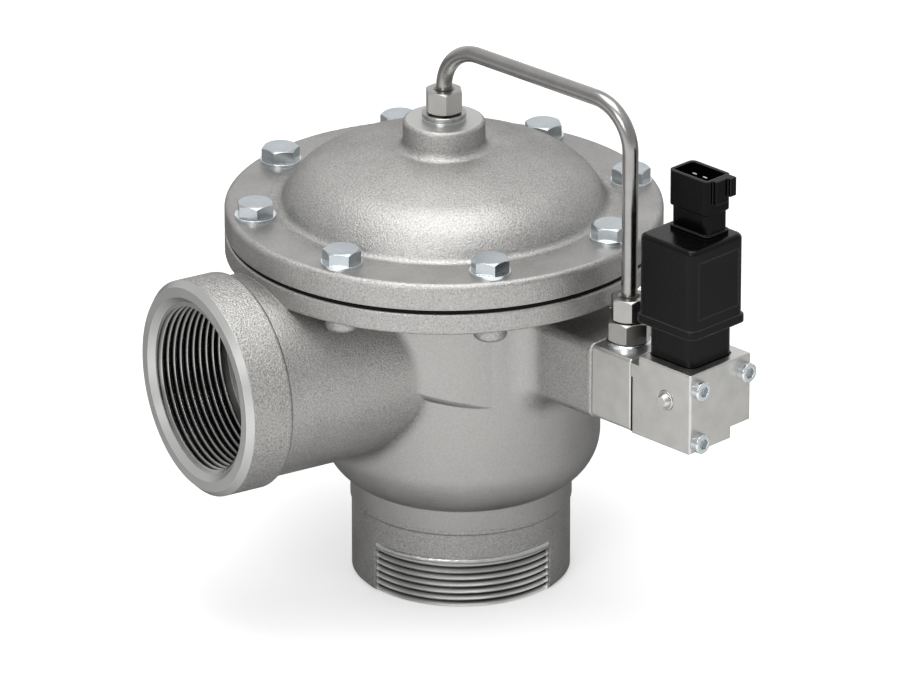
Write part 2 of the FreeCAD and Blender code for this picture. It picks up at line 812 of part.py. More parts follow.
def make_diaphragm_top_plate():
    """Pressed plate with a turned-up rim, which also seats the main spring."""
    low = centre_z + diaphragm_t
    inner = top_plate_r - top_plate_t
    near = top_plate_round * (1 - math.sqrt(0.5))
    steps = [(top_plate_r - top_plate_round, low)]
    steps += [((top_plate_r - near, low + near), (top_plate_r, low + top_plate_round))]
    steps += [(top_plate_r, plate_top_z + top_plate_rim)]
    steps += [(inner + top_plate_round, plate_top_z + top_plate_rim)]
    steps += [(inner, plate_top_z), (clamp_r + fit, plate_top_z)]
    return turned((clamp_r + fit, low), steps, cover_axis)


def make_seat_disc():
    return ring(clamp_r + fit, seat_disc_r, seat_z, centre_z, cover_shift)


def make_retainer():
    edge = retainer_t / 3
    low = seat_z - retainer_t
    steps = [(retainer_r - edge, low), (retainer_r, low + edge), (retainer_r, seat_z), (clamp_r + fit, seat_z)]
    return turned((clamp_r + fit, low), steps, cover_axis)


def make_clamp_screw():
    head_top = seat_z - retainer_t
    tip = plate_top_z + clamp_nut_h + clamp_tip
    head = hexagon(clamp_head_af, head_top - clamp_head_h, head_top, True, False, cover_shift)
    steps = [(clamp_r, head_top - eps), (clamp_r, tip - clamp_edge), (clamp_r - clamp_edge, tip), (0, tip)]
    return head.fuse(turned((0, head_top - eps), steps, cover_axis)).removeSplitter()


def make_clamp_nut():
    nut = hexagon(clamp_head_af, plate_top_z, plate_top_z + clamp_nut_h, True, True, cover_shift)
    return nut.cut(rod(clamp_r + fit, plate_top_z - eps, plate_top_z + clamp_nut_h + eps, cover_shift))


def make_main_spring():
    coil = coil_spring(main_spring_r, main_spring_wire_r, main_spring_turns, plate_top_z, spring_top_z)
    coil.translate(cover_axis)
    return coil


# The pilot tube and its fittings
def low_fitting_place():
    angle = math.radians(pilot_turn)
    x = low_fit_u * math.cos(angle) - low_fit_v * math.sin(angle)
    y = low_fit_u * math.sin(angle) + low_fit_v * math.cos(angle)
    return x, y


def stud_steps(collar_z):
    """Hollow stud above a fitting's shoulder, with a mouth for the cutting ring."""
    top = collar_z + stud_l
    floor = top - tube_entry - tube_end_gap
    steps = [(stud_r, collar_z), (stud_r, top - stud_edge), (stud_r - stud_edge, top)]
    steps += [(mouth_r, top), (tube_r + fit, top - mouth_h), (tube_r + fit, floor), (fitting_bore_r, floor)]
    return steps


def make_top_fitting():
    seat = boss_top_z + top_seal_t
    shoulder = seat + top_collar_t
    low = boss_top_z - top_stem_l
    edge = top_collar_edge
    steps = [(top_stem_r, low), (top_stem_r, seat)]
    steps += [(top_collar_r - edge, seat), (top_collar_r, seat + edge)]
    steps += [(top_collar_r, shoulder - edge), (top_collar_r - edge, shoulder)]
    steps += stud_steps(shoulder)
    return turned((fitting_bore_r, low), steps, cover_axis)


def make_top_seal():
    return ring(top_stem_r + fit, top_seal_r, boss_top_z, boss_top_z + top_seal_t, cover_shift)


def make_lower_fitting():
    x, y = low_fitting_place()
    seat = arm_top_z + low_seal_t
    shoulder = seat + low_hex_h
    core_r = low_hex_af / 2 - eps
    steps = [(low_stem_r, arm_top_z - low_stem_l), (low_stem_r, seat), (core_r, seat)]
    steps += [(core_r, shoulder)] + stud_steps(shoulder)
    core = turned((fitting_bore_r, arm_top_z - low_stem_l), steps)
    nut = hexagon(low_hex_af, seat, shoulder, True, True, 0, 0, low_hex_turn)
    nut = nut.cut(rod(core_r - eps, seat - eps, shoulder + eps))
    fitting = core.fuse(nut).removeSplitter()
    fitting.translate(Vec(x, y, 0))
    return fitting


def make_lower_seal():
    x, y = low_fitting_place()
    top = arm_top_z + low_seal_t
    edge = low_seal_edge
    steps = [(low_seal_r, arm_top_z), (low_seal_r, top - edge), (low_seal_r - edge, top)]
    steps += [(low_stem_r + fit, top)]
    return turned((low_stem_r + fit, arm_top_z), steps, Vec(x, y, 0))


def tube_nut(low, height, turn, x, y):
    """Union nut: threaded over the stud, with a cone that presses the cutting ring."""
    solid = hexagon(nut_af, low, low + height, True, True, 0, 0, turn)
    stud_top = low - nut_gap + stud_l
    cone_top = stud_top + nut_cone
    hole_r = tube_r + nut_hole_gap
    top = low + height
    steps = [(stud_r + fit, low - eps), (stud_r + fit, stud_top), (hole_r, cone_top)]
    steps += [(hole_r, top - mouth_h), (nut_mouth_r, top), (nut_mouth_r, top + eps), (0, top + eps)]
    solid = solid.cut(turned((0, low - eps), steps))
    solid.translate(Vec(x, y, 0))
    return solid


def ferrule(stud_top, x, y):
    """Cutting ring between the fitting's mouth and the nut's cone."""
    low = stud_top - ferrule_tip_h
    high = stud_top + ferrule_back_h
    inner = tube_r + fit / 2
    steps = [(ferrule_tip_r, low), (ferrule_r, stud_top), (ferrule_r, stud_top + ferrule_land)]
    steps += [(ferrule_back_r, high), (inner, high)]
    return turned((inner, low), steps, Vec(x, y, 0))


def top_shoulder_z():
    return boss_top_z + top_seal_t + top_collar_t


def low_shoulder_z():
    return arm_top_z + low_seal_t + low_hex_h


def make_top_nut():
    return tube_nut(top_shoulder_z() + nut_gap, nut_h, top_nut_turn, cover_shift, 0.0)


def make_lower_nut():
    x, y = low_fitting_place()
    return tube_nut(low_shoulder_z() + nut_gap, nut_low_h + nut_cone, low_nut_turn, x, y)


def make_top_ferrule():
    return ferrule(top_shoulder_z() + stud_l, cover_shift, 0.0)


def make_lower_ferrule():
    x, y = low_fitting_place()
    return ferrule(low_shoulder_z() + stud_l, x, y)


def make_pilot_tube():
    """Tube that rises from the cover, runs level and comes down to the pilot block in two bends."""
    x, y = low_fitting_place()
    run = Vec(x - cover_shift, y, 0)
    along = Vec(run).normalize()
    start = Vec(cover_shift, 0, top_shoulder_z() + stud_l - tube_entry)
    end = Vec(x, y, low_shoulder_z() + stud_l - tube_entry)
    up = Vec(0, 0, 1)
    bend = tube_bend_r
    first_corner = Vec(cover_shift, 0, tube_run_z)
    last_corner = Vec(x, y, tube_run_z)
    inner = bend * (1 - math.sqrt(0.5))
    rise_end = first_corner - up * bend
    run_start = first_corner + along * bend
    run_end = last_corner - along * bend
    fall_start = last_corner - up * bend
    first_middle = first_corner + (along - up) * inner
    last_middle = last_corner - (along + up) * inner
    edges = [Part.makeLine(start, rise_end), Part.Arc(rise_end, first_middle, run_start).toShape()]
    edges += [Part.makeLine(run_start, run_end), Part.Arc(run_end, last_middle, fall_start).toShape()]
    edges += [Part.makeLine(fall_start, end)]
    path = Part.Wire(edges)
    walls = []
    for radius in (tube_r, tube_bore_r):
        section = Part.Wire(Part.makeCircle(radius, start, up))
        walls.append(path.makePipeShell([section], True, False))
    return walls[0].cut(walls[1])


# The pilot blocks
def make_pilot_base_block():
    """Block between the arm and the cover block, which carries the tube fitting."""
    block = box(arm_end_u, base_end_u, -block_half_v, block_half_v, block_bottom_z, arm_top_z)
    long_edges = [e for e in block.Edges if abs(e.BoundBox.XLength - (base_end_u - arm_end_u)) < 1e-6]
    block = block.makeFillet(base_round, long_edges)
    faces = [e for e in block.Edges if abs(e.BoundBox.XLength) < 1e-6]
    block = block.makeChamfer(base_edge, faces)
    stem = rod(low_stem_r + fit, arm_top_z - low_stem_l - eps, arm_top_z + eps, low_fit_u, low_fit_v)
    riser = rod(riser_r, port_z - port_r, arm_top_z, low_fit_u, low_fit_v)
    length = base_end_u - low_fit_u + eps
    port = Part.makeCylinder(port_r, length, Vec(low_fit_u, port_v, port_z), Vec(1, 0, 0))
    tools = [stem, riser, port] + cap_holes(arm_end_u - eps, base_end_u + eps)
    return to_pilot(block.cut(tools))


def cap_holes(u0, u1):
    holes = []
    for v, z in cap_screw_axes():
        holes.append(Part.makeCylinder(cap_r + cap_clear, u1 - u0, Vec(u0, v, z), Vec(1, 0, 0)))
    return holes


def make_pilot_pad():
    """Flat rubber seal in the cover block's rebate."""
    wide = block_half_v - pad_inset
    pad = box(base_end_u, base_end_u + pad_gap, -wide, wide, block_bottom_z + pad_inset, pad_top_z)
    return to_pilot(pad.cut(cap_holes(base_end_u - eps, base_end_u + pad_gap + eps)))


def make_pilot_cover_block():
    """Block under the solenoid, with its rebate, its lowered lip, its notch and the pilot's passages."""
    end = cover_block_u
    block = box(base_end_u, end, -block_half_v, block_half_v, block_bottom_z, cover_block_z)
    start = base_end_u - eps
    wide = block_half_v + eps
    low = block_bottom_z - eps
    notch = box(start, end + eps, block_half_v - notch_v, wide, low, block_bottom_z + notch_h)
    lip = box(start, lip_u, -wide, wide, lip_z, cover_block_z + eps)
    block = block.cut([notch, lip]).removeSplitter()
    outer = [e for e in block.Edges if on_cover_block_rim(e)]
    block = block.makeFillet(block_edge, outer)
    rebate = box(start, base_end_u + pad_gap, -wide, wide, low, pad_top_z)
    pocket = pillar(pocket_side, pocket_side, pocket_corner, pocket_z, cover_block_z + eps, coil_u)
    mouth = Vec(plug_u, -block_half_v, plug_z)
    plug_hole = Part.makeCylinder(plug_r + fit / 2, plug_t, mouth, Vec(0, 1, 0))
    cross = Part.makeCylinder(port_r, block_half_v - seat_insert_r + eps, mouth, Vec(0, 1, 0))
    tools = [rebate, pocket, plug_hole, cross] + cell_tools() + cap_holes(start, end + eps)
    return to_pilot(block.cut(tools).removeSplitter())


def on_cover_block_rim(edge):
    """Outer edges of the end face and the long top and upright ones, apart from the back face's."""
    bounds = edge.BoundBox
    at_end = bounds.XMin > cover_block_u - 1e-6
    on_side = abs(bounds.YMin) > block_half_v - 1e-6 and abs(bounds.YMax) > block_half_v - 1e-6
    long_top = on_side and bounds.XLength > notch_v and bounds.ZMin > lip_z
    return at_end or long_top


def cell_tools():
    """The solenoid's well, the pilot seat's hole, the feed from the tube and the vent below."""
    well_low = pocket_z - guide_flange_t - ring_seal_t
    start = Vec(base_end_u - eps, port_v, port_z)
    feed = Part.makeCylinder(port_r, coil_u - guide_r / 2 - start.x, start, Vec(1, 0, 0))
    return [
        rod(well_r, well_low, pocket_z + eps, coil_u),
        rod(guide_r + guide_wall, cell_bottom_z, well_low + eps, coil_u),
        rod(seat_insert_r + fit / 2, cell_bottom_z - seat_insert_l + seat_nozzle_h, cell_bottom_z + eps, coil_u),
        rod(vent_r, block_bottom_z - eps, cell_bottom_z, coil_u),
        rod(vent_mouth_r, block_bottom_z - eps, block_bottom_z + vent_mouth_h, coil_u),
        feed,
    ]


def make_pilot_screws():
    """Socket head cap screws along the pilot frame's U axis, into the arm."""
    length = cover_block_u - arm_end_u + cap_grip
    steps = [(cap_r - cap_edge, -length), (cap_r, cap_edge - length), (cap_r, 0), (cap_head_r, 0)]
    steps += [(cap_head_r, cap_head_h - cap_edge), (cap_head_r - cap_edge, cap_head_h), (0, cap_head_h)]
    screw = turned((0, -length), steps)
    socket = hexagon(cap_hex_af, cap_head_h - cap_hex_depth, cap_head_h + eps, False, False, 0, 0, 90)
    screw = screw.cut(socket)
    screw.rotate(Vec(0, 0, 0), Vec(0, 1, 0), 90)
    placed = []
    for v, z in cap_screw_axes():
        one = screw.copy()
        one.translate(Vec(cover_block_u, v, z))
        placed.append(to_pilot(one))
    return Part.makeCompound(placed)


def make_pilot_plug():
    """Domed plug that closes the cross hole."""
    steps = [(plug_r, 0), (plug_r, plug_t), cap_arc(plug_r, plug_t, plug_dome)]
    plug = turned((0, 0), steps, Vec(plug_u, plug_t - block_half_v, plug_z), Vec(0, -1, 0))
    return to_pilot(plug)


# The solenoid
def make_pilot_seat():
    low = cell_bottom_z - seat_insert_l + seat_nozzle_h
    top = cell_bottom_z + seat_nozzle_h
    steps = [(seat_insert_r, low), (seat_insert_r, cell_bottom_z), (seat_cone_r, cell_bottom_z)]
    steps += [(seat_nozzle_r, top), (seat_orifice_r, top)]
    return to_pilot(turned((seat_orifice_r, low), steps, Vec(coil_u, 0, 0)))


def make_core_seal():
    low = pocket_z - guide_flange_t - ring_seal_t
    wire_r = ring_seal_t / 2
    return to_pilot(Part.makeTorus(ring_seal_r - wire_r, wire_r, Vec(coil_u, 0, low + wire_r)))


def make_guide_tube():
    """Thin tube with a flange in the block's well, closed by the fixed core."""
    flange_low = pocket_z - guide_flange_t
    inner = guide_r - guide_wall
    steps = [(guide_flange_r, flange_low), (guide_flange_r, pocket_z), (guide_r, pocket_z)]
    steps += [(guide_r, guide_top_z), (inner, guide_top_z)]
    return to_pilot(turned((inner, flange_low), steps, Vec(coil_u, 0, 0)))


def make_fixed_core():
    inner = guide_r - guide_wall - fit
    steps = [(inner, core_bottom_z), (inner, guide_top_z), (core_tip_r, guide_top_z + core_tip)]
    steps += [(0, guide_top_z + core_tip)]
    return to_pilot(turned((0, core_bottom_z), steps, Vec(coil_u, 0, 0)))


def armature_outline():
    top = core_bottom_z - armature_lift - fit
    steps = [(armature_r, armature_foot_z), (armature_r, top), (armature_bore_r, top)]
    steps += [(armature_bore_r, armature_bore_z), (0, armature_bore_z)]
    return steps


def make_armature():
    """Plunger with a pocket for the rubber seal below and a bore for the spring above."""
    low = armature_foot_z
    steps = [(armature_seal_r, low)] + armature_outline()
    steps += [(0, low + armature_seal_t), (armature_seal_r, low + armature_seal_t)]
    return to_pilot(turned(steps[0], steps[1:], Vec(coil_u, 0, 0)))


def make_armature_seal():
    low = cell_bottom_z + seat_nozzle_h
    top = armature_foot_z + armature_seal_t
    return to_pilot(rod(armature_seal_r - fit / 2, low, top, coil_u))


def make_armature_spring():
    wire_r, turns = armature_spring_wire_r, armature_spring_turns
    coil = coil_spring(armature_spring_r, wire_r, turns, armature_bore_z, core_bottom_z)
    coil.translate(Vec(coil_u, 0, 0))
    return to_pilot(coil)


def make_coil_foot():
    """Black housing between the block and the coil, round the guide tube."""
    foot = pillar(foot_side, foot_side, foot_corner, pocket_z, foot_top_z, coil_u)
    return to_pilot(foot.cut(rod(guide_r + fit, pocket_z - eps, foot_top_z + eps, coil_u)))


def make_coil_housing():
    """Moulded housing over the winding, with a collar at its foot."""
    collar = pillar(collar_side, collar_side, box_corner, foot_top_z, collar_top_z, coil_u)
    collar = collar.makeFillet(collar_round, edges_at_height(collar, collar_top_z))
    body = pillar(box_side, box_side, box_corner, foot_top_z, box_top_z, coil_u)
    body = body.makeFillet(box_top_round, edges_at_height(body, box_top_z))
    inside = box_side - 2 * shell_t
    hollow = pillar(inside, inside, box_corner - shell_t, bobbin_z, box_top_z - shell_t, coil_u)
    bore = rod(guide_r + fit, foot_top_z - eps, bobbin_z + eps, coil_u)
    end = coil_u + box_side / 2
    recess = box(end - panel_depth, end + eps, -panel_half_v, panel_half_v, panel_low_z, panel_top_z)
    return to_pilot(collar.fuse(body).cut([hollow, bore, recess]).removeSplitter())


def make_coil_bobbin():
    inner = guide_r + fit
    tube = inner + bobbin_wall
    low = bobbin_z + bobbin_flange_t
    high = bobbin_top_z - bobbin_flange_t
    steps = [(bobbin_flange_r, bobbin_z), (bobbin_flange_r, low), (tube, low), (tube, high)]
    steps += [(bobbin_flange_r, high), (bobbin_flange_r, bobbin_top_z), (inner, bobbin_top_z)]
    return to_pilot(turned((inner, bobbin_z), steps, Vec(coil_u, 0, 0)))


def make_coil_winding():
    inner = guide_r + bobbin_wall + 2 * fit
    low = bobbin_z + bobbin_flange_t
    high = bobbin_top_z - bobbin_flange_t
    return to_pilot(ring(inner, winding_r, low, high, coil_u))


# The connector
def make_connector():
    """Open rectangular socket on a neck, with a latch rail on its outer end."""
    y = plug_shift_v
    corner = socket_corner
    ring_top = box_top_z + socket_ring_h
    foot = pillar(socket_ring_u, socket_ring_v, corner, box_top_z, ring_top, coil_u, y)
    neck = pillar(socket_neck_u, socket_neck_v, corner, box_top_z, socket_neck_top_z, coil_u, y)
    shell = pillar(socket_u, socket_v, corner, socket_neck_top_z, socket_top_z, coil_u, y)
    shell = shell.makeFillet(socket_edge, edges_at_height(shell, socket_neck_top_z))
    end = coil_u + socket_u / 2
    latch_low = y - socket_v / 2 + latch_from_v
    start = end - socket_wall
    latch_high = latch_low + latch_v
    rail = box(start, end + latch_out, latch_low, latch_high, latch_low_z, socket_top_z)
    rail = rail.makeFillet(socket_edge, upright_edges(rail)[2:])
    catch_end = latch_high + catch_v
    catch = box(start, end + catch_out, latch_high - eps, catch_end, catch_low_z, socket_top_z)
    outer = foot.fuse([neck, shell, rail, catch]).removeSplitter()
    inner_u, inner_v = socket_u - 2 * socket_wall, socket_v - 2 * socket_wall
    high = socket_top_z + eps
    hollow = pillar(inner_u, inner_v, corner - socket_wall, socket_floor_z, high, coil_u, y)
    low, top = box_top_z - eps, socket_floor_z + eps
    holes = [pin_shape(place, low, top, fit / 2) for place in pin_places()]
    return to_pilot(outer.cut([hollow] + holes).removeSplitter())


def pin_places():
    return [coil_u - pin_gap / 2, coil_u + pin_gap / 2]


def pin_shape(u, z0, z1, spare):
    half_u, half_v = pin_u / 2 + spare, pin_v / 2 + spare
    return box(u - half_u, u + half_u, plug_shift_v - half_v, plug_shift_v + half_v, z0, z1)


def make_connector_pins():
    pins = []
    for place in pin_places():
        pin = pin_shape(place, box_top_z, pin_top_z, 0.0)
        pins.append(to_pilot(pin.makeChamfer(pin_v / 3, edges_at_height(pin, pin_top_z))))
    return Part.makeCompound(pins)


PIECES = {
    "valve_body": make_valve_body,
    "cover": make_cover,
    "main_diaphragm": make_main_diaphragm,
    "main_spring": make_main_spring,
    "cover_bolts": make_cover_bolts,
    "cover_washers": make_cover_washers,
    "top_fitting": make_top_fitting,
    "top_sealing_washer": make_top_seal,
    "top_tube_nut": make_top_nut,
    "top_cutting_ring": make_top_ferrule,
    "pilot_tube": make_pilot_tube,
    "lower_fitting": make_lower_fitting,
    "lower_sealing_washer": make_lower_seal,
    "lower_tube_nut": make_lower_nut,
    "lower_cutting_ring": make_lower_ferrule,
    "pilot_base_block": make_pilot_base_block,
    "pilot_block_seal": make_pilot_pad,
    "pilot_cover_block": make_pilot_cover_block,
    "pilot_screws": make_pilot_screws,
    "pilot_plug": make_pilot_plug,
    "pilot_seat": make_pilot_seat,
    "guide_tube": make_guide_tube,
    "guide_tube_seal": make_core_seal,
    "fixed_core": make_fixed_core,
    "armature": make_armature,
    "armature_seal": make_armature_seal,
    "armature_spring": make_armature_spring,
    "coil_foot": make_coil_foot,
    "coil_housing": make_coil_housing,
    "coil_bobbin": make_coil_bobbin,
    "coil_winding": make_coil_winding,
    "connector_shell": make_connector,
    "connector_pins": make_connector_pins,
    "diaphragm_top_plate": make_diaphragm_top_plate,
    "diaphragm_seat_disc": make_seat_disc,
    "diaphragm_retainer": make_retainer,
    "diaphragm_screw": make_clamp_screw,
    "diaphragm_nut": make_clamp_nut,
}


def main():
    os.makedirs("parts", exist_ok=True)
    for name, make in PIECES.items():
        shape = make()
        if not shape.isValid() or not shape.Solids:
            raise RuntimeError(name + " is not a valid solid")
        shape.exportStep("parts/" + name + ".step")
        print(name, "solids", len(shape.Solids), "volume", round(shape.Volume))


main()
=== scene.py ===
"""A right-angle dust collector pulse valve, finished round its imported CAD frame."""
import math

import bmesh
import bpy
from bpy.props import FloatProperty, FloatVectorProperty, IntProperty, PointerProperty
from mathutils import Matrix, Vector, noise


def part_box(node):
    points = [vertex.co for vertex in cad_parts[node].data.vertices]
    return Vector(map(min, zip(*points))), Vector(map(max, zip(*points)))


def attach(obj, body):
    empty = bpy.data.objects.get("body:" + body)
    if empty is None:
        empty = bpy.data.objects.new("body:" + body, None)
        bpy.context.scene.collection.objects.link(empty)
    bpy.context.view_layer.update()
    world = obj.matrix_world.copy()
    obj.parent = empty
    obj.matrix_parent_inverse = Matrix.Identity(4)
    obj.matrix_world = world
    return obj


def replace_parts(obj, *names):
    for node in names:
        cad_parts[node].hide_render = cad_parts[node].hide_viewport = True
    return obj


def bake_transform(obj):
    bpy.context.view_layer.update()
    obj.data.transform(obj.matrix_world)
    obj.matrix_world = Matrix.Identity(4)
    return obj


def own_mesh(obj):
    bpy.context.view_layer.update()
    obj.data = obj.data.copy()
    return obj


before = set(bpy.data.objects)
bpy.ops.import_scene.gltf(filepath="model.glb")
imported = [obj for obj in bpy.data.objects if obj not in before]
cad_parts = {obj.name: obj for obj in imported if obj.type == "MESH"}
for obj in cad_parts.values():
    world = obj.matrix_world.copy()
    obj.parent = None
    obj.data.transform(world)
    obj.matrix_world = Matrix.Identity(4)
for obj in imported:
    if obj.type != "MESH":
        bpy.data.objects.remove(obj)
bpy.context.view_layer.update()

bl_info = {
    "name": "Dust Collector Pulse Valve",
    "version": (1, 0, 0),
    "blender": (4, 5, 0),
    "location": "3D View > Sidebar > Pulse Valve",
    "description": "Finishes a right-angle pulse valve and lights it on a pale floor",
    "category": "Object",
}

MM = 0.001

# Middles of the outlet's and inlet's mouths, and the axis that the cover and the seat share, in metres
OUTLET_MOUTH = (0.0, 0.0, 0.0)
INLET_MOUTH = (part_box("valve_body")[0].x, 0.0, 0.131)
COVER_AXIS = (-0.010, 0.0, 0.0)

# Bore of both ports, and root and crest of the outer thread on the neck
PORT_R = 0.04394
OUTER_ROOT_R = 0.0516
OUTER_CREST_R = 0.0538

# The neck, and the two windows in it that show the outer thread: their top, middles and half their width
NECK_R = 0.0555
WINDOW_TOP_Z = 0.0245
WINDOW_TURNS = (math.radians(240), math.radians(60))
WINDOW_HALF = math.radians(51)

# Direction of the pilot's arm, and the middle of the plug's face with that arm turned onto X
PILOT_TURN = math.radians(284)
PLUG_PLACE = (0.163, -0.0215, 0.1474)

# Parts of the castings that look different from their blasted skin. Each is a stretch of a tube: its axis,
# the point that its lengths start from, its inner and outer radius, and its start and end along the axis.
WINDOW_THREAD = ("Z", OUTLET_MOUTH, (0.0, 0.05415), (-0.001, WINDOW_TOP_Z + 0.0002))
BODY_ZONES = {
    "turned": (
        # Inlet: its end face with the outer chamfer, and its threaded bore
        ("X", INLET_MOUTH, (0.0, 0.0552), (-0.001, 0.0032)),
        ("X", INLET_MOUTH, (0.0, 0.0472), (-0.001, 0.0465)),
        # Neck: the outer thread, the end face and the threaded bore
        WINDOW_THREAD,
        ("Z", OUTLET_MOUTH, (0.0, 0.0560), (-0.001, 0.0004)),
        ("Z", OUTLET_MOUTH, (0.0, 0.0445), (-0.001, 0.0305)),
        # The face that clamps the diaphragm, and the seat
        ("Z", COVER_AXIS, (0.0, 0.1200), (0.1861, 0.1870)),
        ("Z", COVER_AXIS, (0.0, 0.0414), (0.1640, 0.1680)),
    ),
    "thread": (WINDOW_THREAD,),
    "chamfer": (
        # The inlet's outer and inner chamfer
        ("X", INLET_MOUTH, (0.0522, 0.0552), (0.0001, 0.0032)),
        ("X", INLET_MOUTH, (0.0435, 0.0469), (0.0001, 0.0032)),
    ),
    "inside": (
        # The passages behind the threads
        ("X", INLET_MOUTH, (0.0, 0.0440), (0.0450, 0.1050)),
        ("Z", OUTLET_MOUTH, (0.0, 0.0440), (0.0290, 0.1500)),
    ),
    "smooth": (
        # The lower and the upper chamber
        ("Z", OUTLET_MOUTH, (0.0, 0.0720), (0.0430, 0.1200)),
        ("Z", OUTLET_MOUTH, (0.0, 0.0790), (0.1200, 0.1740)),
    ),
    "coarse": (
        # The side of the inlet's boss
        ("X", INLET_MOUTH, (0.0545, 0.0560), (0.0020, 0.0265)),
    ),
}
COVER_ZONES = {
    "turned": (
        # The top of the boss, and the face that clamps the diaphragm
        ("Z", COVER_AXIS, (0.0, 0.0192), (0.2455, 0.2470)),
        ("Z", COVER_AXIS, (0.0, 0.1200), (0.1880, 0.1889)),
    ),
    "smooth": (
        # The flat that the bolts stand on
        ("Z", COVER_AXIS, (0.0880, 0.1075), (0.2010, 0.2030)),
    ),
}

# Where the photograph was taken from, and how far right of the outlet's middle and above it the camera aims
VIEW_TURN = math.radians(31.1)
VIEW_RISE = math.radians(23.4)
TOWARDS_CAMERA = Vector((-math.sin(VIEW_TURN), -math.cos(VIEW_TURN), 0))
AIM_RIGHT = -0.0056
AIM_Z = 0.1246


def linear(code):
    """sRGB hex value as the linear colour that a shader socket takes."""
    channels = [int(code[i:i + 2], 16) / 255 for i in (0, 2, 4)]
    return [c / 12.92 if c <= 0.04045 else ((c + 0.055) / 1.055) ** 2.4 for c in channels] + [1.0]


def colour_property(name, description, code):
    return FloatVectorProperty(name=name, description=description, subtype="COLOR", size=4, min=0, max=1,
                               default=linear(code))


def length_property(name, description, millimetres):
    return FloatProperty(name=name, description=description, default=millimetres * MM, min=0, unit="LENGTH")


class PULSEVALVE_PG_threads(bpy.types.PropertyGroup):
    """Sizes of the pipe threads cut in both ports."""
    pitch: length_property("Pitch", "Distance from one turn to the next", 3.7)
    depth: length_property("Depth", "Height of a turn above its root", 2.1)
    crest: length_property("Crest", "Width of a turn's top", 0.5)
    inlet_mouth: length_property("Inlet Mouth", "Depth at which the inlet's first turn starts", 3.0)
    inlet_end: length_property("Inlet End", "Depth at which the inlet's thread ends", 44)
    outlet_mouth: length_property("Outlet Mouth", "Depth at which the outlet's first turn starts", 1.9)
    outlet_end: length_property("Outlet End", "Depth at which the outlet's thread ends", 28)
    steps: IntProperty(name="Steps", description="Faces round one turn", default=96, min=24)


class PULSEVALVE_PG_details(bpy.types.PropertyGroup):
    """Sizes of the cast lips over the outer thread and of the pilot block's plug."""
    lip: length_property("Lip", "Radius of the cast lip's section", 1.7)
    lip_sink: length_property("Lip Sink", "How far the lip's middle lies inside the neck", 0.7)
    lip_rough: FloatProperty(name="Lip Roughness", description="How uneven the cast lip is", default=0.14,
                             min=0)
    plug: length_property("Plug", "Radius of the pilot block's plug", 4.95)
    plug_height: length_property("Plug Height", "How far the plug's cone stands out", 3.3)


class PULSEVALVE_PG_finishes(bpy.types.PropertyGroup):
    """Colours of the finishes."""
    casting: colour_property("Casting", "Bead-blasted aluminium casting", "b0afad")
    inside: colour_property("Casting Inside", "As-cast passages that the blasting doesn't reach", "5c5b59")
    turned: colour_property("Turned Aluminium", "Turned and milled faces of the castings", "d0d0ce")
    chamfer: colour_property("Chamfers", "Chamfers, port threads and cast lips", "c4c4c2")
    satin: colour_property("Satin Aluminium", "Milled and lightly blasted pilot blocks", "cac9c6")
    zinc: colour_property("Zinc Plating", "Bright blue zinc on bolts and diaphragm plates", "b4bbbf")
    washer: colour_property("Washers", "Bright zinc on the washers and the pilot's screws", "d6dbdd")
    stainless: colour_property("Stainless Steel", "Turned fittings and nuts", "a4a29f")
    tube: colour_property("Polished Tube", "Drawn and polished stainless tube", "9b9a98")
    spring: colour_property("Spring Steel", "Drawn spring wire", "9a9a9a")
    moulding: colour_property("Black Moulding", "Glass-filled nylon of the coil", "060607")
    connector: colour_property("Connector Moulding", "Smooth nylon of the connector", "040405")
    # Painted highlight: the paler grey that the black mouldings take along their edges
    painted_edge_colour: colour_property("Painted Edge Highlights", "Painted highlight along the edges of the black mouldings", "3c3c3e")
    rubber: colour_property("Rubber", "Nitrile rubber of the diaphragm and seals", "0b0b0b")
    brass: colour_property("Brass", "Turned brass of the pilot seat", "c9a45c")
    copper: colour_property("Copper", "Enamelled copper winding", "b5683a")
    bobbin: colour_property("Bobbin", "Natural nylon of the coil's bobbin", "d8d0bd")
    tin: colour_property("Tin", "Tin-plated contact blades", "dcdcd8")


class PULSEVALVE_PG_stage(bpy.types.PropertyGroup):
    """Floor, lamps and camera."""
    floor: colour_property("Floor", "Pale studio floor", "e0e0e0")
    glow: FloatProperty(name="Floor Glow", description="How far the floor is lifted towards white",
                        default=0.38, min=0, max=1)
    sides: FloatProperty(name="Floor Sides", description="Share of the floor's light that reflections show "
                         "beside and behind the valve", default=0.45, min=0, max=1)
    room: FloatProperty(name="Room Light", description="Brightness of the room at the sides", default=0.55,
                        min=0)
    key_lamp: FloatProperty(name="Key Lamp", description="Power of the softbox left of the camera", default=8,
                            min=0, unit="POWER")
    top_lamp: FloatProperty(name="Top Lamp", description="Power of the softbox overhead", default=9, min=0,
                            unit="POWER")
    distance: FloatProperty(name="Camera Distance", description="From the camera to the valve", default=5.0,
                            unit="LENGTH")
    lens: FloatProperty(name="Lens", description="Focal length on a 36 mm sensor, in millimetres",
                        default=396.8)


# Shader helpers
def add_node(tree, kind, inputs=(), output=0, **settings):
    """Adds a node, sets or links its inputs, given by name or in order, and returns one of its outputs.

    A Mix node has the same names for all its types, so there 0 is the factor, 2 and 3 are the values that it
    mixes, and 6 and 7 are the colours.
    """
    made = tree.nodes.new(kind)
    for name, value in settings.items():
        setattr(made, name, value)
    for socket, value in inputs.items() if isinstance(inputs, dict) else enumerate(inputs):
        if isinstance(value, bpy.types.NodeSocket):
            tree.links.new(value, made.inputs[socket])
        else:
            made.inputs[socket].default_value = value
    return made.outputs[output] if made.outputs else None


def new_material(name):
    """An empty material, its node tree and its Object coordinates."""
    made = bpy.data.materials.new(name)
    made.use_nodes = True
    tree = made.node_tree
    tree.nodes.clear()
    return made, tree, add_node(tree, "ShaderNodeTexCoord", output="Object")


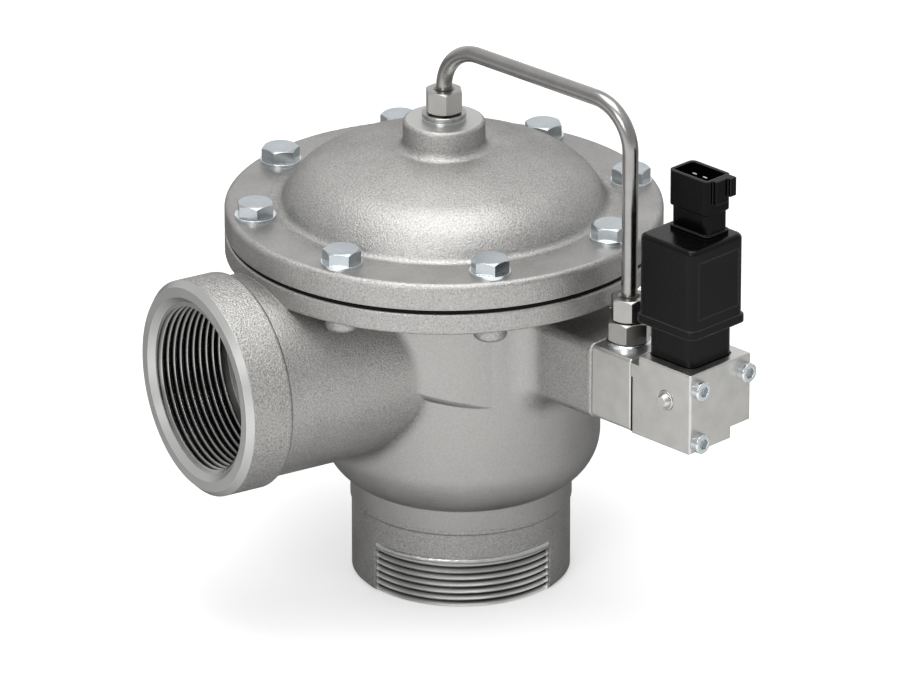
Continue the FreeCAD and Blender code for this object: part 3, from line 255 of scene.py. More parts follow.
def per_mm(size):
    """Texture scale at which one feature is so many millimetres wide."""
    return 1 / (size * MM)


def shade(colour, factor):
    """The same colour, darker or lighter."""
    return [min(1.0, c * factor) for c in colour[:3]] + [1.0]


def tube_reach(tree, coords, axis, centre):
    """Distance from an axis and place along it."""
    local = add_node(tree, "ShaderNodeVectorMath", (coords, centre), operation="SUBTRACT")
    across = [0.0 if letter == axis else 1.0 for letter in "XYZ"]
    flat = add_node(tree, "ShaderNodeVectorMath", (local, across), operation="MULTIPLY")
    radius = add_node(tree, "ShaderNodeVectorMath", (flat,), "Value", operation="LENGTH")
    return radius, add_node(tree, "ShaderNodeSeparateXYZ", (local,), axis)


def zone_mask(tree, coords, zones):
    """1 within any of the zones, each a stretch of a tube: axis, centre, radii and span along the axis."""
    total = 0.0
    for axis, centre, radii, span in zones:
        inside = 1.0
        for value, (low, high) in zip(tube_reach(tree, coords, axis, centre), (radii, span)):
            middle, half = (low + high) / 2, (high - low) / 2
            near = add_node(tree, "ShaderNodeMath", (value, middle, half), operation="COMPARE")
            inside = add_node(tree, "ShaderNodeMath", (near, inside), operation="MULTIPLY")
        total = add_node(tree, "ShaderNodeMath", (inside, total), operation="MAXIMUM")
    return total


def edge_highlight_mask(tree, rounded):
    """1 where an edge's rounding turns the surface well away from its face, and 0 on the face: where painted
    highlights go.
    """
    face = add_node(tree, "ShaderNodeNewGeometry", output="Normal")
    turned = add_node(tree, "ShaderNodeVectorMath", (face, rounded), "Value", operation="DOT_PRODUCT")
    return add_node(tree, "ShaderNodeMapRange", (turned, 0.995, 0.88, 0.0, 1.0))


# Finishes
def blasted_casting(name, colours, zones):
    """Sand-cast aluminium, bead blasted: a bright fine grain over slow grey clouds, with plain turned faces.

    The real grain is about 0.3 mm wide, drawn at 0.9 mm so that it shows at the render's size.
    """
    made, tree, coords = new_material(name)
    turned, thread, chamfer, inside, smooth, coarse = [
        zone_mask(tree, coords, zones.get(kind, ()))
        for kind in ("turned", "thread", "chamfer", "inside", "smooth", "coarse")]
    grain = add_node(tree, "ShaderNodeTexNoise", {"Vector": coords, "Scale": per_mm(0.9), "Detail": 2.0,
                                                  "Roughness": 0.65})
    pebble = add_node(tree, "ShaderNodeTexNoise", {"Vector": coords, "Scale": per_mm(3.2), "Detail": 1.0})
    cloud = add_node(tree, "ShaderNodeTexNoise", {"Vector": coords, "Scale": per_mm(26), "Detail": 3.0,
                                                  "Roughness": 0.55})
    # Strength of the grain: none on turned faces, less on the smooth chambers and more on the coarse boss
    blasted = add_node(tree, "ShaderNodeMath", (turned, -1.0, 1.0), operation="MULTIPLY_ADD")
    calm = add_node(tree, "ShaderNodeMapRange", (smooth, 0.0, 1.0, 1.0, 0.4))
    calm = add_node(tree, "ShaderNodeMath", (coarse, 0.6, calm), operation="MULTIPLY_ADD")
    rough = add_node(tree, "ShaderNodeMath", (blasted, calm), operation="MULTIPLY")
    # Colour of the skin: clouds, then grain
    slow = add_node(tree, "ShaderNodeMapRange", (cloud, 0.3, 0.7, 0.94, 1.05))
    slow = add_node(tree, "ShaderNodeMath", (coarse, 0.06, slow), operation="MULTIPLY_ADD")
    fine = add_node(tree, "ShaderNodeMapRange", (grain, 0.3, 0.7, -0.26, 0.26))
    fine = add_node(tree, "ShaderNodeMath", (fine, rough, slow), operation="MULTIPLY_ADD")
    skin = {"Vector": colours.casting[:3], "Scale": fine}
    tone = add_node(tree, "ShaderNodeVectorMath", skin, operation="SCALE")
    # Colour of the turned faces: plain, with painted shade at the root of the outer thread and a painted
    # highlight on its crests
    reach = tube_reach(tree, coords, "Z", OUTLET_MOUTH)[0]
    root, crest = OUTER_ROOT_R + 0.2 * MM, OUTER_CREST_R - 0.4 * MM
    groove = add_node(tree, "ShaderNodeMapRange", (reach, root, crest, 0.2, 1.15))
    groove = add_node(tree, "ShaderNodeMix", {0: thread, 2: 1.0, 3: groove})
    plain = {"Vector": colours.turned[:3], "Scale": groove}
    plain = add_node(tree, "ShaderNodeVectorMath", plain, operation="SCALE")
    tone = add_node(tree, "ShaderNodeMix", {0: turned, 6: tone, 7: plain}, 2, data_type="RGBA")
    tone = add_node(tree, "ShaderNodeMix", {0: chamfer, 6: tone, 7: colours.chamfer[:]}, 2, data_type="RGBA")
    tone = add_node(tree, "ShaderNodeMix", {0: inside, 6: tone, 7: colours.inside[:]}, 2, data_type="RGBA")
    # Gloss: dull where blasted, satin where turned
    gloss = add_node(tree, "ShaderNodeMath", (grain, 0.4, cloud), operation="MULTIPLY_ADD")
    gloss = add_node(tree, "ShaderNodeMapRange", (gloss, 0.4, 1.0, 0.36, 0.52))
    gloss = add_node(tree, "ShaderNodeMath", (turned, -0.06, gloss), operation="MULTIPLY_ADD")
    # Edges: 1 mm round on the skin, crisp where turned and sharp on the thread
    edge = add_node(tree, "ShaderNodeMapRange", (turned, 0.0, 1.0, 1.0 * MM, 0.15 * MM))
    edge = add_node(tree, "ShaderNodeMapRange", (thread, 0.0, 1.0, edge, 0.0))
    edge = add_node(tree, "ShaderNodeBevel", {"Radius": edge}, samples=6)
    height = add_node(tree, "ShaderNodeMath", (pebble, 0.12, grain), operation="MULTIPLY_ADD")
    height = add_node(tree, "ShaderNodeMath", (height, rough), operation="MULTIPLY")
    normal = add_node(tree, "ShaderNodeBump", {"Height": height, "Distance": 0.34 * MM, "Normal": edge})
    shader = add_node(tree, "ShaderNodeBsdfPrincipled", {
        "Base Color": tone, "Metallic": 0.95, "Roughness": gloss, "Normal": normal,
        "Specular Tint": (0.4, 0.4, 0.4, 1.0)})
    add_node(tree, "ShaderNodeOutputMaterial", {"Surface": shader})
    return made


def worked_metal(name, colour, gloss, grain_mm, depth_mm, edge_mm, variation=0.06, grooves=None):
    """Milled, turned, drawn or plated metal: a fine grain, slight changes of gloss and a painted highlight on
    the edges.

    The real grain is a few hundredths of a millimetre wide, and is drawn as coarse as it needs to show.
    Grooves are given as axis, centre, root radius, crest radius and their start along the axis. They get
    painted shade at the root, which fades in over their first 3 mm.
    """
    made, tree, coords = new_material(name)
    grain = add_node(tree, "ShaderNodeTexNoise", {"Vector": coords, "Scale": per_mm(grain_mm),
                                                  "Roughness": 0.6})
    cloud = add_node(tree, "ShaderNodeTexNoise", {"Vector": coords, "Scale": per_mm(9), "Detail": 3.0,
                                                  "Roughness": 0.6})
    light = add_node(tree, "ShaderNodeMapRange", (cloud, 0.35, 0.65, 0.94, 1.05))
    if grooves:
        axis, centre, root, crest, start = grooves
        reach, along = tube_reach(tree, coords, axis, centre)
        # Painted shade: darker towards the root of each turn, and evened out over the first 3 mm
        shadow = add_node(tree, "ShaderNodeMapRange", (reach, root, crest, 0.06, 1.0))
        lead = add_node(tree, "ShaderNodeMapRange", (along, start, start + 3 * MM, 1.0, 0.0))
        shadow = add_node(tree, "ShaderNodeMix", {0: lead, 2: shadow, 3: 0.8})
        light = add_node(tree, "ShaderNodeMath", (light, shadow), operation="MULTIPLY")
    rough = add_node(tree, "ShaderNodeMath", (grain, 0.5, cloud), operation="MULTIPLY_ADD")
    rough = add_node(tree, "ShaderNodeMapRange", (rough, 0.45, 1.05, gloss - variation, gloss + variation))
    normal = add_node(tree, "ShaderNodeBevel", {"Radius": edge_mm * MM}, samples=6)
    # Painted highlight: rounded edges are made up to 30 % paler than the face
    tone_and_edge_highlight = add_node(tree, "ShaderNodeMath", (edge_highlight_mask(tree, normal), 0.3, light), operation="MULTIPLY_ADD")
    tone = add_node(tree, "ShaderNodeVectorMath", {"Vector": colour[:3], "Scale": tone_and_edge_highlight}, operation="SCALE")
    normal = add_node(tree, "ShaderNodeBump", {"Height": grain, "Distance": depth_mm * MM, "Normal": normal})
    shader = add_node(tree, "ShaderNodeBsdfPrincipled", {
        "Base Color": tone, "Metallic": 1.0, "Roughness": rough, "Normal": normal})
    add_node(tree, "ShaderNodeOutputMaterial", {"Surface": shader})
    return made


def moulded(name, colour, gloss, grain_mm, depth_mm, edge_mm, shine, painted_edge_colour=None):
    """Injection-moulded plastic or rubber: a spark-eroded grain on the faces, and soft edges with a painted
    highlight.

    The real grain is about 0.1 mm wide, and is drawn as coarse as it needs to show.
    """
    made, tree, coords = new_material(name)
    grain = add_node(tree, "ShaderNodeTexNoise", {"Vector": coords, "Scale": per_mm(grain_mm),
                                                  "Roughness": 0.6})
    cloud = add_node(tree, "ShaderNodeTexNoise", {"Vector": coords, "Scale": per_mm(14)})
    light = add_node(tree, "ShaderNodeMapRange", (cloud, 0.3, 0.7, 0.85, 1.25))
    rough = add_node(tree, "ShaderNodeMath", (cloud, grain), operation="ADD")
    rough = add_node(tree, "ShaderNodeMapRange", (rough, 0.7, 1.3, gloss - 0.06, gloss + 0.06))
    normal = add_node(tree, "ShaderNodeBevel", {"Radius": edge_mm * MM}, samples=6)
    tone = add_node(tree, "ShaderNodeVectorMath", {"Vector": colour[:3], "Scale": light}, operation="SCALE")
    # Painted highlight: the edges are mixed towards a paler colour
    edges = {0: edge_highlight_mask(tree, normal), 6: tone, 7: painted_edge_colour or shade(colour, 1.2)}
    tone = add_node(tree, "ShaderNodeMix", edges, 2, data_type="RGBA")
    normal = add_node(tree, "ShaderNodeBump", {"Height": grain, "Distance": depth_mm * MM, "Normal": normal})
    shader = add_node(tree, "ShaderNodeBsdfPrincipled", {
        "Base Color": tone, "Roughness": rough, "Normal": normal, "Specular IOR Level": shine})
    add_node(tree, "ShaderNodeOutputMaterial", {"Surface": shader})
    return made


def wound_copper(name, colour):
    """Enamelled copper wire wound in level turns: dark lines between bright wires.

    The real wire is about 0.4 mm thick. Its turns are drawn 2.5 mm apart, coarse enough to show.
    """
    made, tree, coords = new_material(name)
    # Bands of this texture are 2 pi / 20 of a unit apart at a scale of 1, so at this scale 2 pi x 0.4 mm
    turns = add_node(tree, "ShaderNodeTexWave", {"Vector": coords, "Scale": per_mm(0.4) / 20}, 1,
                     wave_type="BANDS", bands_direction="Z")
    lines = {0: turns, 6: shade(colour, 0.45), 7: colour}
    tone = add_node(tree, "ShaderNodeMix", lines, 2, data_type="RGBA")
    normal = add_node(tree, "ShaderNodeBump", {"Height": turns, "Distance": 0.15 * MM})
    shader = add_node(tree, "ShaderNodeBsdfPrincipled", {
        "Base Color": tone, "Metallic": 1.0, "Roughness": 0.3, "Normal": normal})
    add_node(tree, "ShaderNodeOutputMaterial", {"Surface": shader})
    return made


# Mesh helpers
def dress(material, *nodes):
    """Gives CAD nodes one finish."""
    for node in nodes:
        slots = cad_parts[node].data.materials
        slots.clear()
        slots.append(material)


def finish_piece(name, mesh, material):
    """Makes an object of a bmesh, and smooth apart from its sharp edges."""
    bmesh.ops.remove_doubles(mesh, verts=mesh.verts, dist=1e-6)
    bmesh.ops.recalc_face_normals(mesh, faces=mesh.faces)
    data = bpy.data.meshes.new(name)
    mesh.to_mesh(data)
    mesh.free()
    data.shade_smooth()
    data.set_sharp_from_angle(angle=math.radians(35))
    data.materials.append(material)
    made = bpy.data.objects.new(name, data)
    bpy.context.scene.collection.objects.link(made)
    return made


def flexing_copy(node, name, material):
    """A merged copy of a CAD node that stands for it."""
    mesh = bmesh.new()
    mesh.from_mesh(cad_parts[node].data)
    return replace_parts(finish_piece(name, mesh, material), node)


def everything(mesh):
    """All the geometry of a bmesh."""
    return mesh.verts[:] + mesh.edges[:] + mesh.faces[:]


def thread_ridge(sizes, length):
    """Inner thread about Z: one ridge, cut off level at the mouth, that winds up and runs out at its end."""
    mesh = bmesh.new()
    root = PORT_R + 0.05 * MM
    crest = PORT_R - sizes.depth
    half, half_crest = sizes.pitch / 2, sizes.crest / 2
    outline = ((root, 0.0), (crest, half - half_crest), (crest, half + half_crest), (root, sizes.pitch))
    # It starts one pitch below the mouth, so that the cut there is level all round
    mesh.faces.new([mesh.verts.new((radius, 0, height - sizes.pitch)) for radius, height in outline])
    turns = length / sizes.pitch
    count = int(turns * sizes.steps)
    bmesh.ops.spin(mesh, geom=everything(mesh), cent=(0, 0, 0), axis=(0, 0, 1), steps=count,
                   angle=2 * math.pi * count / sizes.steps, dvec=(0, 0, sizes.pitch / sizes.steps),
                   use_duplicate=False)
    # Over its last half turn the crest sinks to a twentieth of its height
    for vert in mesh.verts:
        radius = vert.co.xy.length
        if radius < PORT_R - sizes.depth / 2:
            turn = (vert.co.z + half) / sizes.pitch
            share = min(1.0, max(0.05, (turns - turn) / 0.5))
            vert.co.xy *= (root + (crest - root) * share) / radius
    bmesh.ops.bisect_plane(mesh, geom=everything(mesh), dist=1e-7, plane_co=(0, 0, 0), plane_no=(0, 0, 1),
                           clear_inner=True)
    open_edges = [edge for edge in mesh.edges if edge.is_boundary]
    bmesh.ops.triangle_fill(mesh, use_beauty=True, normal=(0, 0, 1), edges=open_edges)
    return mesh


class PULSEVALVE_OT_castings(bpy.types.Operator):
    """Finish the cast body and cover, with their turned faces"""
    bl_idname = "pulsevalve.castings"
    bl_label = "Finish Castings"

    def execute(self, context):
        colours = context.scene.pulsevalve_finishes
        dress(blasted_casting("Bead-blasted body casting", colours, BODY_ZONES), "valve_body")
        dress(blasted_casting("Bead-blasted cover casting", colours, COVER_ZONES), "cover")
        return {"FINISHED"}


class PULSEVALVE_OT_lips(bpy.types.Operator):
    """Run a rough cast lip along the top of each window in the neck"""
    bl_idname = "pulsevalve.lips"
    bl_label = "Add Cast Lips"

    def execute(self, context):
        sizes = context.scene.pulsevalve_details
        colours = context.scene.pulsevalve_finishes
        # Rough as cast but bright: pale, lumpy and softly shining
        finish = worked_metal("Bright cast aluminium lip", colours.chamfer[:], gloss=0.3, grain_mm=0.8,
                              depth_mm=0.1, edge_mm=0.2)
        # The lip's section is round, and its middle stands 0.7 of its radius above the window
        middle_r = NECK_R - sizes.lip_sink
        middle_z = WINDOW_TOP_Z + sizes.lip * 0.7
        place = Matrix.Translation((middle_r, 0, middle_z)) @ Matrix.Rotation(math.pi / 2, 4, "X")
        lump_size = 3 * MM
        for number, turn in enumerate(WINDOW_TURNS):
            mesh = bmesh.new()
            bmesh.ops.create_circle(mesh, cap_ends=True, segments=12, radius=sizes.lip, matrix=place)
            start = Matrix.Rotation(turn - WINDOW_HALF, 3, "Z")
            bmesh.ops.rotate(mesh, verts=mesh.verts, matrix=start)
            bmesh.ops.spin(mesh, geom=everything(mesh), cent=(0, 0, 0), axis=(0, 0, 1),
                           angle=2 * WINDOW_HALF, steps=150, use_duplicate=False)
            for vert in mesh.verts:
                middle = Vector((*(vert.co.xy.normalized() * middle_r), middle_z))
                lump = 1 + sizes.lip_rough * noise.noise(vert.co / lump_size)
                vert.co = middle + (vert.co - middle) * lump
            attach(finish_piece(f"window_lip_{number + 1}", mesh, finish), "housing")
        return {"FINISHED"}


class PULSEVALVE_OT_threads(bpy.types.Operator):
    """Cut the pipe threads of the inlet and the outlet"""
    bl_idname = "pulsevalve.threads"
    bl_label = "Cut Port Threads"

    def execute(self, context):
        sizes = context.scene.pulsevalve_threads
        colour = context.scene.pulsevalve_finishes.chamfer[:]
        along_x = Matrix.Rotation(math.pi / 2, 4, "Y")
        for name, axis, mouth, turn, start, end in (
                ("inlet_thread", "X", INLET_MOUTH, along_x, sizes.inlet_mouth, sizes.inlet_end),
                ("outlet_thread", "Z", OUTLET_MOUTH, Matrix(), sizes.outlet_mouth, sizes.outlet_end)):
            # Freshly turned: bright crests, and painted shade on the roots that are too deep for the light
            grooves = (axis, mouth, PORT_R - 0.5 * sizes.depth, PORT_R - 0.97 * sizes.depth, start)
            finish = worked_metal(f"Turned aluminium of the {name.replace('_', ' ')}", colour, gloss=0.24,
                                  grain_mm=0.5, depth_mm=0.004, edge_mm=0.15, grooves=grooves)
            mesh = thread_ridge(sizes, end - start)
            place = Matrix.Translation(mouth) @ turn @ Matrix.Translation((0, 0, start))
            bmesh.ops.transform(mesh, matrix=place, verts=mesh.verts)
            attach(finish_piece(name, mesh, finish), "housing")
        return {"FINISHED"}


class PULSEVALVE_OT_fasteners(bpy.types.Operator):
    """Finish the zinc-plated bolts, washers, screws and diaphragm plates"""
    bl_idname = "pulsevalve.fasteners"
    bl_label = "Finish Fasteners"

    def execute(self, context):
        colours = context.scene.pulsevalve_finishes
        # A cool and even gloss, with a painted highlight where the edges are rounded
        zinc = worked_metal("Bright zinc plating", colours.zinc[:], gloss=0.24, grain_mm=0.9, depth_mm=0.0015,
                            edge_mm=0.35, variation=0.03)
        dress(zinc, "cover_bolts", "diaphragm_top_plate", "diaphragm_retainer", "diaphragm_screw",
              "diaphragm_nut")
        # The same plating over smoother pieces, which are paler
        washer = worked_metal("Bright zinc on washers and screws", colours.washer[:], gloss=0.22,
                              grain_mm=0.9, depth_mm=0.002, edge_mm=0.5, variation=0.03)
        dress(washer, "pilot_screws", "cover_washers", "top_sealing_washer", "lower_sealing_washer")
        return {"FINISHED"}


class PULSEVALVE_OT_pipework(bpy.types.Operator):
    """Finish the pilot tube, its fittings, and the solenoid's guide tube, core and armature"""
    bl_idname = "pulsevalve.pipework"
    bl_label = "Finish Pipework"

    def execute(self, context):
        colours = context.scene.pulsevalve_finishes
        # Bright from the lathe, with broken edges that catch the light, made brighter by a painted highlight
        steel = worked_metal("Turned stainless steel", colours.stainless[:], gloss=0.3, grain_mm=0.7,
                             depth_mm=0.006, edge_mm=0.4, variation=0.04)
        dress(steel, "top_fitting", "top_tube_nut", "top_cutting_ring", "lower_fitting", "lower_tube_nut",
              "lower_cutting_ring", "guide_tube", "fixed_core", "armature")
        # Drawn and polished: long clean reflections of the floor and the room
        tube = worked_metal("Drawn stainless tube", colours.tube[:], gloss=0.24, grain_mm=1.2,
                            depth_mm=0.0003, edge_mm=0.0, variation=0.01)
        dress(tube, "pilot_tube")
        return {"FINISHED"}


class PULSEVALVE_OT_pilot_blocks(bpy.types.Operator):
    """Finish the pilot's blocks and seat, and give their plug its coned end"""
    bl_idname = "pulsevalve.pilot_blocks"
    bl_label = "Finish Pilot Blocks"

    def execute(self, context):
        colours = context.scene.pulsevalve_finishes
        # Milled and lightly blasted: a pale even satin with soft edges, made bright by a painted highlight
        satin = worked_metal("Satin milled aluminium", colours.satin[:], gloss=0.34, grain_mm=0.6,
                             depth_mm=0.02, edge_mm=0.9)
        dress(satin, "pilot_base_block", "pilot_cover_block")
        # Warm and bright from the lathe
        brass = worked_metal("Turned brass", colours.brass[:], gloss=0.25, grain_mm=0.4, depth_mm=0.005,
                             edge_mm=0.2)
        dress(brass, "pilot_seat")
        self.make_plug(context.scene.pulsevalve_details, colours)
        return {"FINISHED"}

    def make_plug(self, sizes, colours):
        """A disc with a chamfered rim, sunk in the block's side, with a blunt cone in its middle."""
        mesh = bmesh.new()
        rim, top = sizes.plug, sizes.plug_height
        foot = -1.7 * MM
        # Radius and height: the foot in the block, the chamfered rim, a fine groove and the cone
        outline = (
            (0, foot), (rim, foot),
            (rim, 0.25 * MM), (rim - 0.5 * MM, 0.5 * MM),
            (4.2 * MM, 0.5 * MM), (4.0 * MM, 0.2 * MM), (3.9 * MM, 0.8 * MM),
            (3.0 * MM, top - 0.3 * MM), (2.7 * MM, top), (0, top))
        chain = [mesh.verts.new((radius, 0, height)) for radius, height in outline]
        edges = [mesh.edges.new(pair) for pair in zip(chain, chain[1:])]
        bmesh.ops.spin(mesh, geom=chain + edges, cent=(0, 0, 0), axis=(0, 0, 1), angle=2 * math.pi, steps=48,
                       use_merge=True, use_duplicate=False)
        place = Matrix.Rotation(PILOT_TURN, 4, "Z") @ Matrix.Translation(PLUG_PLACE)
        place @= Matrix.Rotation(math.pi / 2, 4, "X")
        bmesh.ops.transform(mesh, verts=mesh.verts, matrix=place)
        # A shade glossier than the blocks, with fine turning on its cone
        finish = worked_metal("Turned aluminium plug", colours.satin[:], gloss=0.28, grain_mm=0.6,
                              depth_mm=0.01, edge_mm=0.3)
        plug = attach(finish_piece("coned_plug", mesh, finish), "housing")
        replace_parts(plug, "pilot_plug")


class PULSEVALVE_OT_rubber(bpy.types.Operator):
    """Finish the rubber seals, and stand a merged copy in for the diaphragm"""
    bl_idname = "pulsevalve.rubber"
    bl_label = "Finish Rubber"

    def execute(self, context):
        # Dull and nearly black, with a faint sheen
        rubber = moulded("Nitrile rubber", context.scene.pulsevalve_finishes.rubber[:], gloss=0.62,
                         grain_mm=0.8, depth_mm=0.03, edge_mm=0.2, shine=0.1)
        dress(rubber, "pilot_block_seal", "diaphragm_seat_disc", "guide_tube_seal", "armature_seal")
        diaphragm = flexing_copy("main_diaphragm", "flexing_diaphragm", rubber)
        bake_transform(diaphragm)
        return {"FINISHED"}


class PULSEVALVE_OT_solenoid(bpy.types.Operator):
    """Finish the coil and what is inside it, and stand merged copies in for both springs"""
    bl_idname = "pulsevalve.solenoid"
    bl_label = "Finish Solenoid"

    def execute(self, context):
        colours = context.scene.pulsevalve_finishes
        # Black with a soft gloss, and a painted grey highlight along its round edges
        black = moulded("Glass-filled nylon moulding", colours.moulding[:], gloss=0.24, grain_mm=0.6,
                        depth_mm=0.003, edge_mm=1.3, shine=0.165, painted_edge_colour=colours.painted_edge_colour[:])
        dress(black, "coil_foot", "coil_housing")
        # Milky and half matt
        natural = moulded("Natural nylon moulding", colours.bobbin[:], gloss=0.45, grain_mm=0.8,
                          depth_mm=0.01, edge_mm=0.2, shine=0.5)
        dress(natural, "coil_bobbin")
        dress(wound_copper("Enamelled copper winding", colours.copper[:]), "coil_winding")
        # Hard drawn wire: grey with a bright line along each turn
        wire = worked_metal("Drawn spring wire", colours.spring[:], gloss=0.25, grain_mm=0.5, depth_mm=0.004,
                            edge_mm=0.1)
        for node, joint in (("main_spring", "diaphragm_lift"), ("armature_spring", "armature_lift")):
            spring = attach(flexing_copy(node, f"flexing_{node}", wire), "housing")
            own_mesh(spring)
        return {"FINISHED"}


class PULSEVALVE_OT_connector(bpy.types.Operator):
    """Finish the connector and its contact blades"""
    bl_idname = "pulsevalve.connector"
    bl_label = "Finish Connector"

    def execute(self, context):
        colours = context.scene.pulsevalve_finishes
        # Deeper black and smoother than the coil, with the same painted grey highlight on its edges
        shell = moulded("Smooth nylon moulding", colours.connector[:], gloss=0.17, grain_mm=0.7,
                        depth_mm=0.002, edge_mm=0.7, shine=0.1, painted_edge_colour=colours.painted_edge_colour[:])
        dress(shell, "connector_shell")
        # Silvery and bright against the black
        tin = worked_metal("Tin plating", colours.tin[:], gloss=0.2, grain_mm=0.4, depth_mm=0.004,
                           edge_mm=0.15)
        dress(tin, "connector_pins")
        return {"FINISHED"}


class PULSEVALVE_OT_stage(bpy.types.Operator):
    """Set the floor, the white room, the lamps and the camera"""
    bl_idname = "pulsevalve.stage"
    bl_label = "Set the Stage"

    def execute(self, context):
        settings = context.scene.pulsevalve_stage
        self.make_floor(settings)
        self.make_room(settings)
        self.make_lamp("Key Softbox", (0.8, 0.6), settings.key_lamp, (-1.22, -0.94, 1.05))
        self.make_lamp("Top Softbox", (0.9, 0.9), settings.top_lamp, (-0.1, -0.1, 1.4))
        self.make_camera(settings)
        context.scene.view_settings.view_transform = "Standard"
        return {"FINISHED"}

    def make_floor(self, settings):
        """Pale floor, lifted towards white for the camera.

        Reflections show it so in front of the valve, and darker at its sides and behind it.
        """
        made, tree, coords = new_material("Pale floor")
        path = tree.nodes.new("ShaderNodeLightPath").outputs
        rays = (path["Is Glossy Ray"], path["Is Transmission Ray"])
        mirrored = add_node(tree, "ShaderNodeMath", rays, operation="MAXIMUM")
        # From 0 just behind the valve's middle to 1 at 0.38 m in front of it
        ahead = add_node(tree, "ShaderNodeVectorMath", (coords, TOWARDS_CAMERA), "Value",
                         operation="DOT_PRODUCT")
        ahead = add_node(tree, "ShaderNodeMapRange", (ahead, -0.02, 0.38, 0.0, 1.0))
        share = add_node(tree, "ShaderNodeMapRange", (ahead, 0.0, 1.0, settings.sides, 1.0))
        share = add_node(tree, "ShaderNodeMix", {0: mirrored, 2: 1.0, 3: share})
        tone = {"Vector": settings.floor[:3], "Scale": share}
        tone = add_node(tree, "ShaderNodeVectorMath", tone, operation="SCALE")
        mirrored = add_node(tree, "ShaderNodeMath", (mirrored, ahead), operation="MULTIPLY")
        seen = add_node(tree, "ShaderNodeMath", (path["Is Camera Ray"], mirrored), operation="MAXIMUM")
        seen = add_node(tree, "ShaderNodeMath", (seen, settings.glow), operation="MULTIPLY")
        ground = add_node(tree, "ShaderNodeBsdfDiffuse", {"Color": tone})
        glow = add_node(tree, "ShaderNodeEmission", {"Strength": seen})
        both = add_node(tree, "ShaderNodeAddShader", (ground, glow))
        add_node(tree, "ShaderNodeOutputMaterial", {"Surface": both})
        # 12 m wide, and just under the valve
        mesh = bmesh.new()
        bmesh.ops.create_grid(mesh, x_segments=2, y_segments=2, size=6.0)
        bmesh.ops.translate(mesh, verts=mesh.verts, vec=(0, 0, -0.2 * MM))
        data = bpy.data.meshes.new("studio_floor")
        mesh.to_mesh(data)
        mesh.free()
        data.materials.append(made)
        floor = bpy.data.objects.new("studio_floor", data)
        bpy.context.scene.collection.objects.link(floor)

    def make_room(self, settings):
        """White for the camera, and a studio with white ceiling and back wall and grey sides for the rest."""
        world = bpy.data.worlds.new("White room")
        bpy.context.scene.world = world
        world.use_nodes = True
        tree = world.node_tree
        tree.nodes.clear()
        camera = add_node(tree, "ShaderNodeLightPath", output="Is Camera Ray")
        direction = add_node(tree, "ShaderNodeTexCoord", output="Generated")
        behind = add_node(tree, "ShaderNodeVectorMath", (direction, -TOWARDS_CAMERA), "Value",
                          operation="DOT_PRODUCT")
        wall = add_node(tree, "ShaderNodeMapRange", (behind, 0.3, 0.8, 0.0, 1.0))
        upward = add_node(tree, "ShaderNodeSeparateXYZ", (direction,), "Z")
        ceiling = add_node(tree, "ShaderNodeMapRange", (upward, 0.5, 0.9, 0.0, 1.0))
        white = add_node(tree, "ShaderNodeMath", (wall, ceiling), operation="MAXIMUM")
        white = add_node(tree, "ShaderNodeMath", (white, camera), operation="MAXIMUM")
        strength = add_node(tree, "ShaderNodeMapRange", (white, 0.0, 1.0, settings.room, 1.0))
        room = add_node(tree, "ShaderNodeBackground", {"Color": (1, 1, 1, 1), "Strength": strength})
        add_node(tree, "ShaderNodeOutputWorld", {"Surface": room})

    def make_lamp(self, name, size, power, place):
        """A softbox that faces the middle of the valve."""
        lamp = bpy.data.lights.new(name, "AREA")
        lamp.shape = "RECTANGLE"
        lamp.size, lamp.size_y = size
        lamp.energy = power
        made = bpy.data.objects.new(name, lamp)
        made.location = place
        made.rotation_mode = "QUATERNION"
        middle = Vector((0, 0, 0.15))
        made.rotation_quaternion = (middle - Vector(place)).to_track_quat("-Z", "Y")
        bpy.context.scene.collection.objects.link(made)

    def make_camera(self, settings):
        """A long lens at the photograph's viewing angle."""
        lens = bpy.data.cameras.new("Camera")
        lens.lens = settings.lens
        lens.sensor_width = 36.0
        lens.clip_start, lens.clip_end = 0.1, 80.0
        camera = bpy.data.objects.new("Camera", lens)
        bpy.context.scene.collection.objects.link(camera)
        right = Vector((math.cos(VIEW_TURN), -math.sin(VIEW_TURN), 0))
        aim = right * AIM_RIGHT + Vector((0, 0, AIM_Z))
        back = TOWARDS_CAMERA * math.cos(VIEW_RISE) + Vector((0, 0, math.sin(VIEW_RISE)))
        camera.location = aim + back * settings.distance
        camera.rotation_mode = "QUATERNION"
        camera.rotation_quaternion = (-back).to_track_quat("-Z", "Y")
        bpy.context.scene.camera = camera


class PULSEVALVE_PT_panel(bpy.types.Panel):
    """Sizes, colours and steps of the pulse valve"""
    bl_label = "Pulse Valve"
    bl_idname = "PULSEVALVE_PT_panel"
    bl_space_type = "VIEW_3D"
    bl_region_type = "UI"
    bl_category = "Pulse Valve"

    def draw(self, context):
        for name in GROUPS:
            group = getattr(context.scene, name)
            box = self.layout.box()
            for setting in group.__annotations__:
                box.prop(group, setting)
        for step in STEPS:
            self.layout.operator(step.bl_idname)


GROUPS = {
    "pulsevalve_threads": PULSEVALVE_PG_threads,
    "pulsevalve_details": PULSEVALVE_PG_details,
    "pulsevalve_finishes": PULSEVALVE_PG_finishes,
    "pulsevalve_stage": PULSEVALVE_PG_stage,
}
STEPS = (PULSEVALVE_OT_castings, PULSEVALVE_OT_lips, PULSEVALVE_OT_threads, PULSEVALVE_OT_fasteners,
         PULSEVALVE_OT_pipework, PULSEVALVE_OT_pilot_blocks, PULSEVALVE_OT_rubber, PULSEVALVE_OT_solenoid,
         PULSEVALVE_OT_connector, PULSEVALVE_OT_stage)


def register():
    for kind in (*GROUPS.values(), *STEPS, PULSEVALVE_PT_panel):
        bpy.utils.register_class(kind)
    for name, group in GROUPS.items():
        setattr(bpy.types.Scene, name, PointerProperty(type=group))


def unregister():
    for name in GROUPS:
        delattr(bpy.types.Scene, name)
    for kind in (*GROUPS.values(), *STEPS, PULSEVALVE_PT_panel):
        bpy.utils.unregister_class(kind)


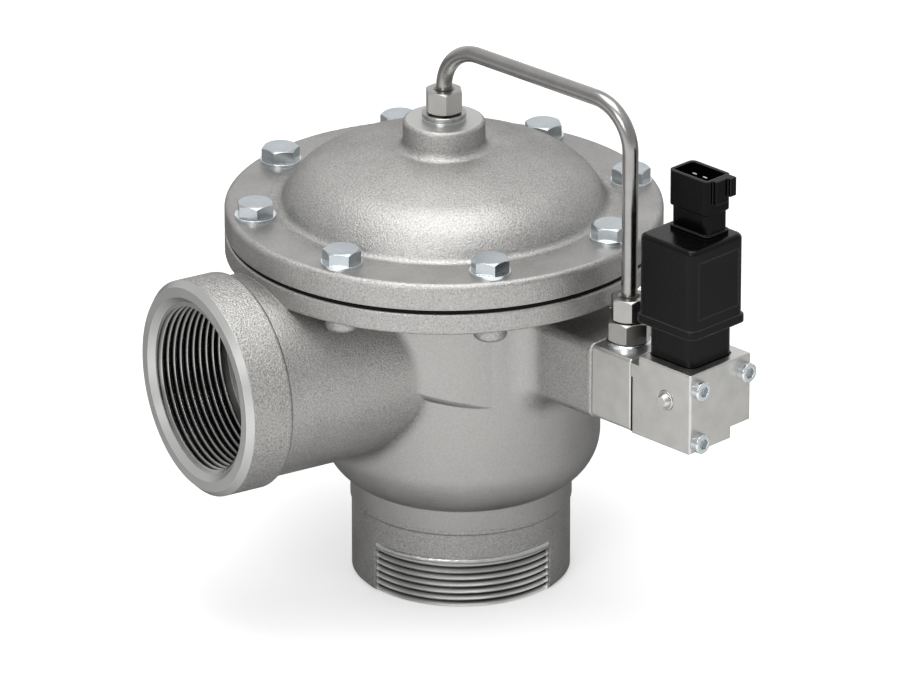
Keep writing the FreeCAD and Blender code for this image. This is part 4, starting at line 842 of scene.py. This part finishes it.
def main():
    register()
    bpy.ops.pulsevalve.castings()
    bpy.ops.pulsevalve.lips()
    bpy.ops.pulsevalve.threads()
    bpy.ops.pulsevalve.fasteners()
    bpy.ops.pulsevalve.pipework()
    bpy.ops.pulsevalve.pilot_blocks()
    bpy.ops.pulsevalve.rubber()
    bpy.ops.pulsevalve.solenoid()
    bpy.ops.pulsevalve.connector()
    bpy.ops.pulsevalve.stage()
    bpy.context.view_layer.update()


if __name__ == "__main__":
    main()
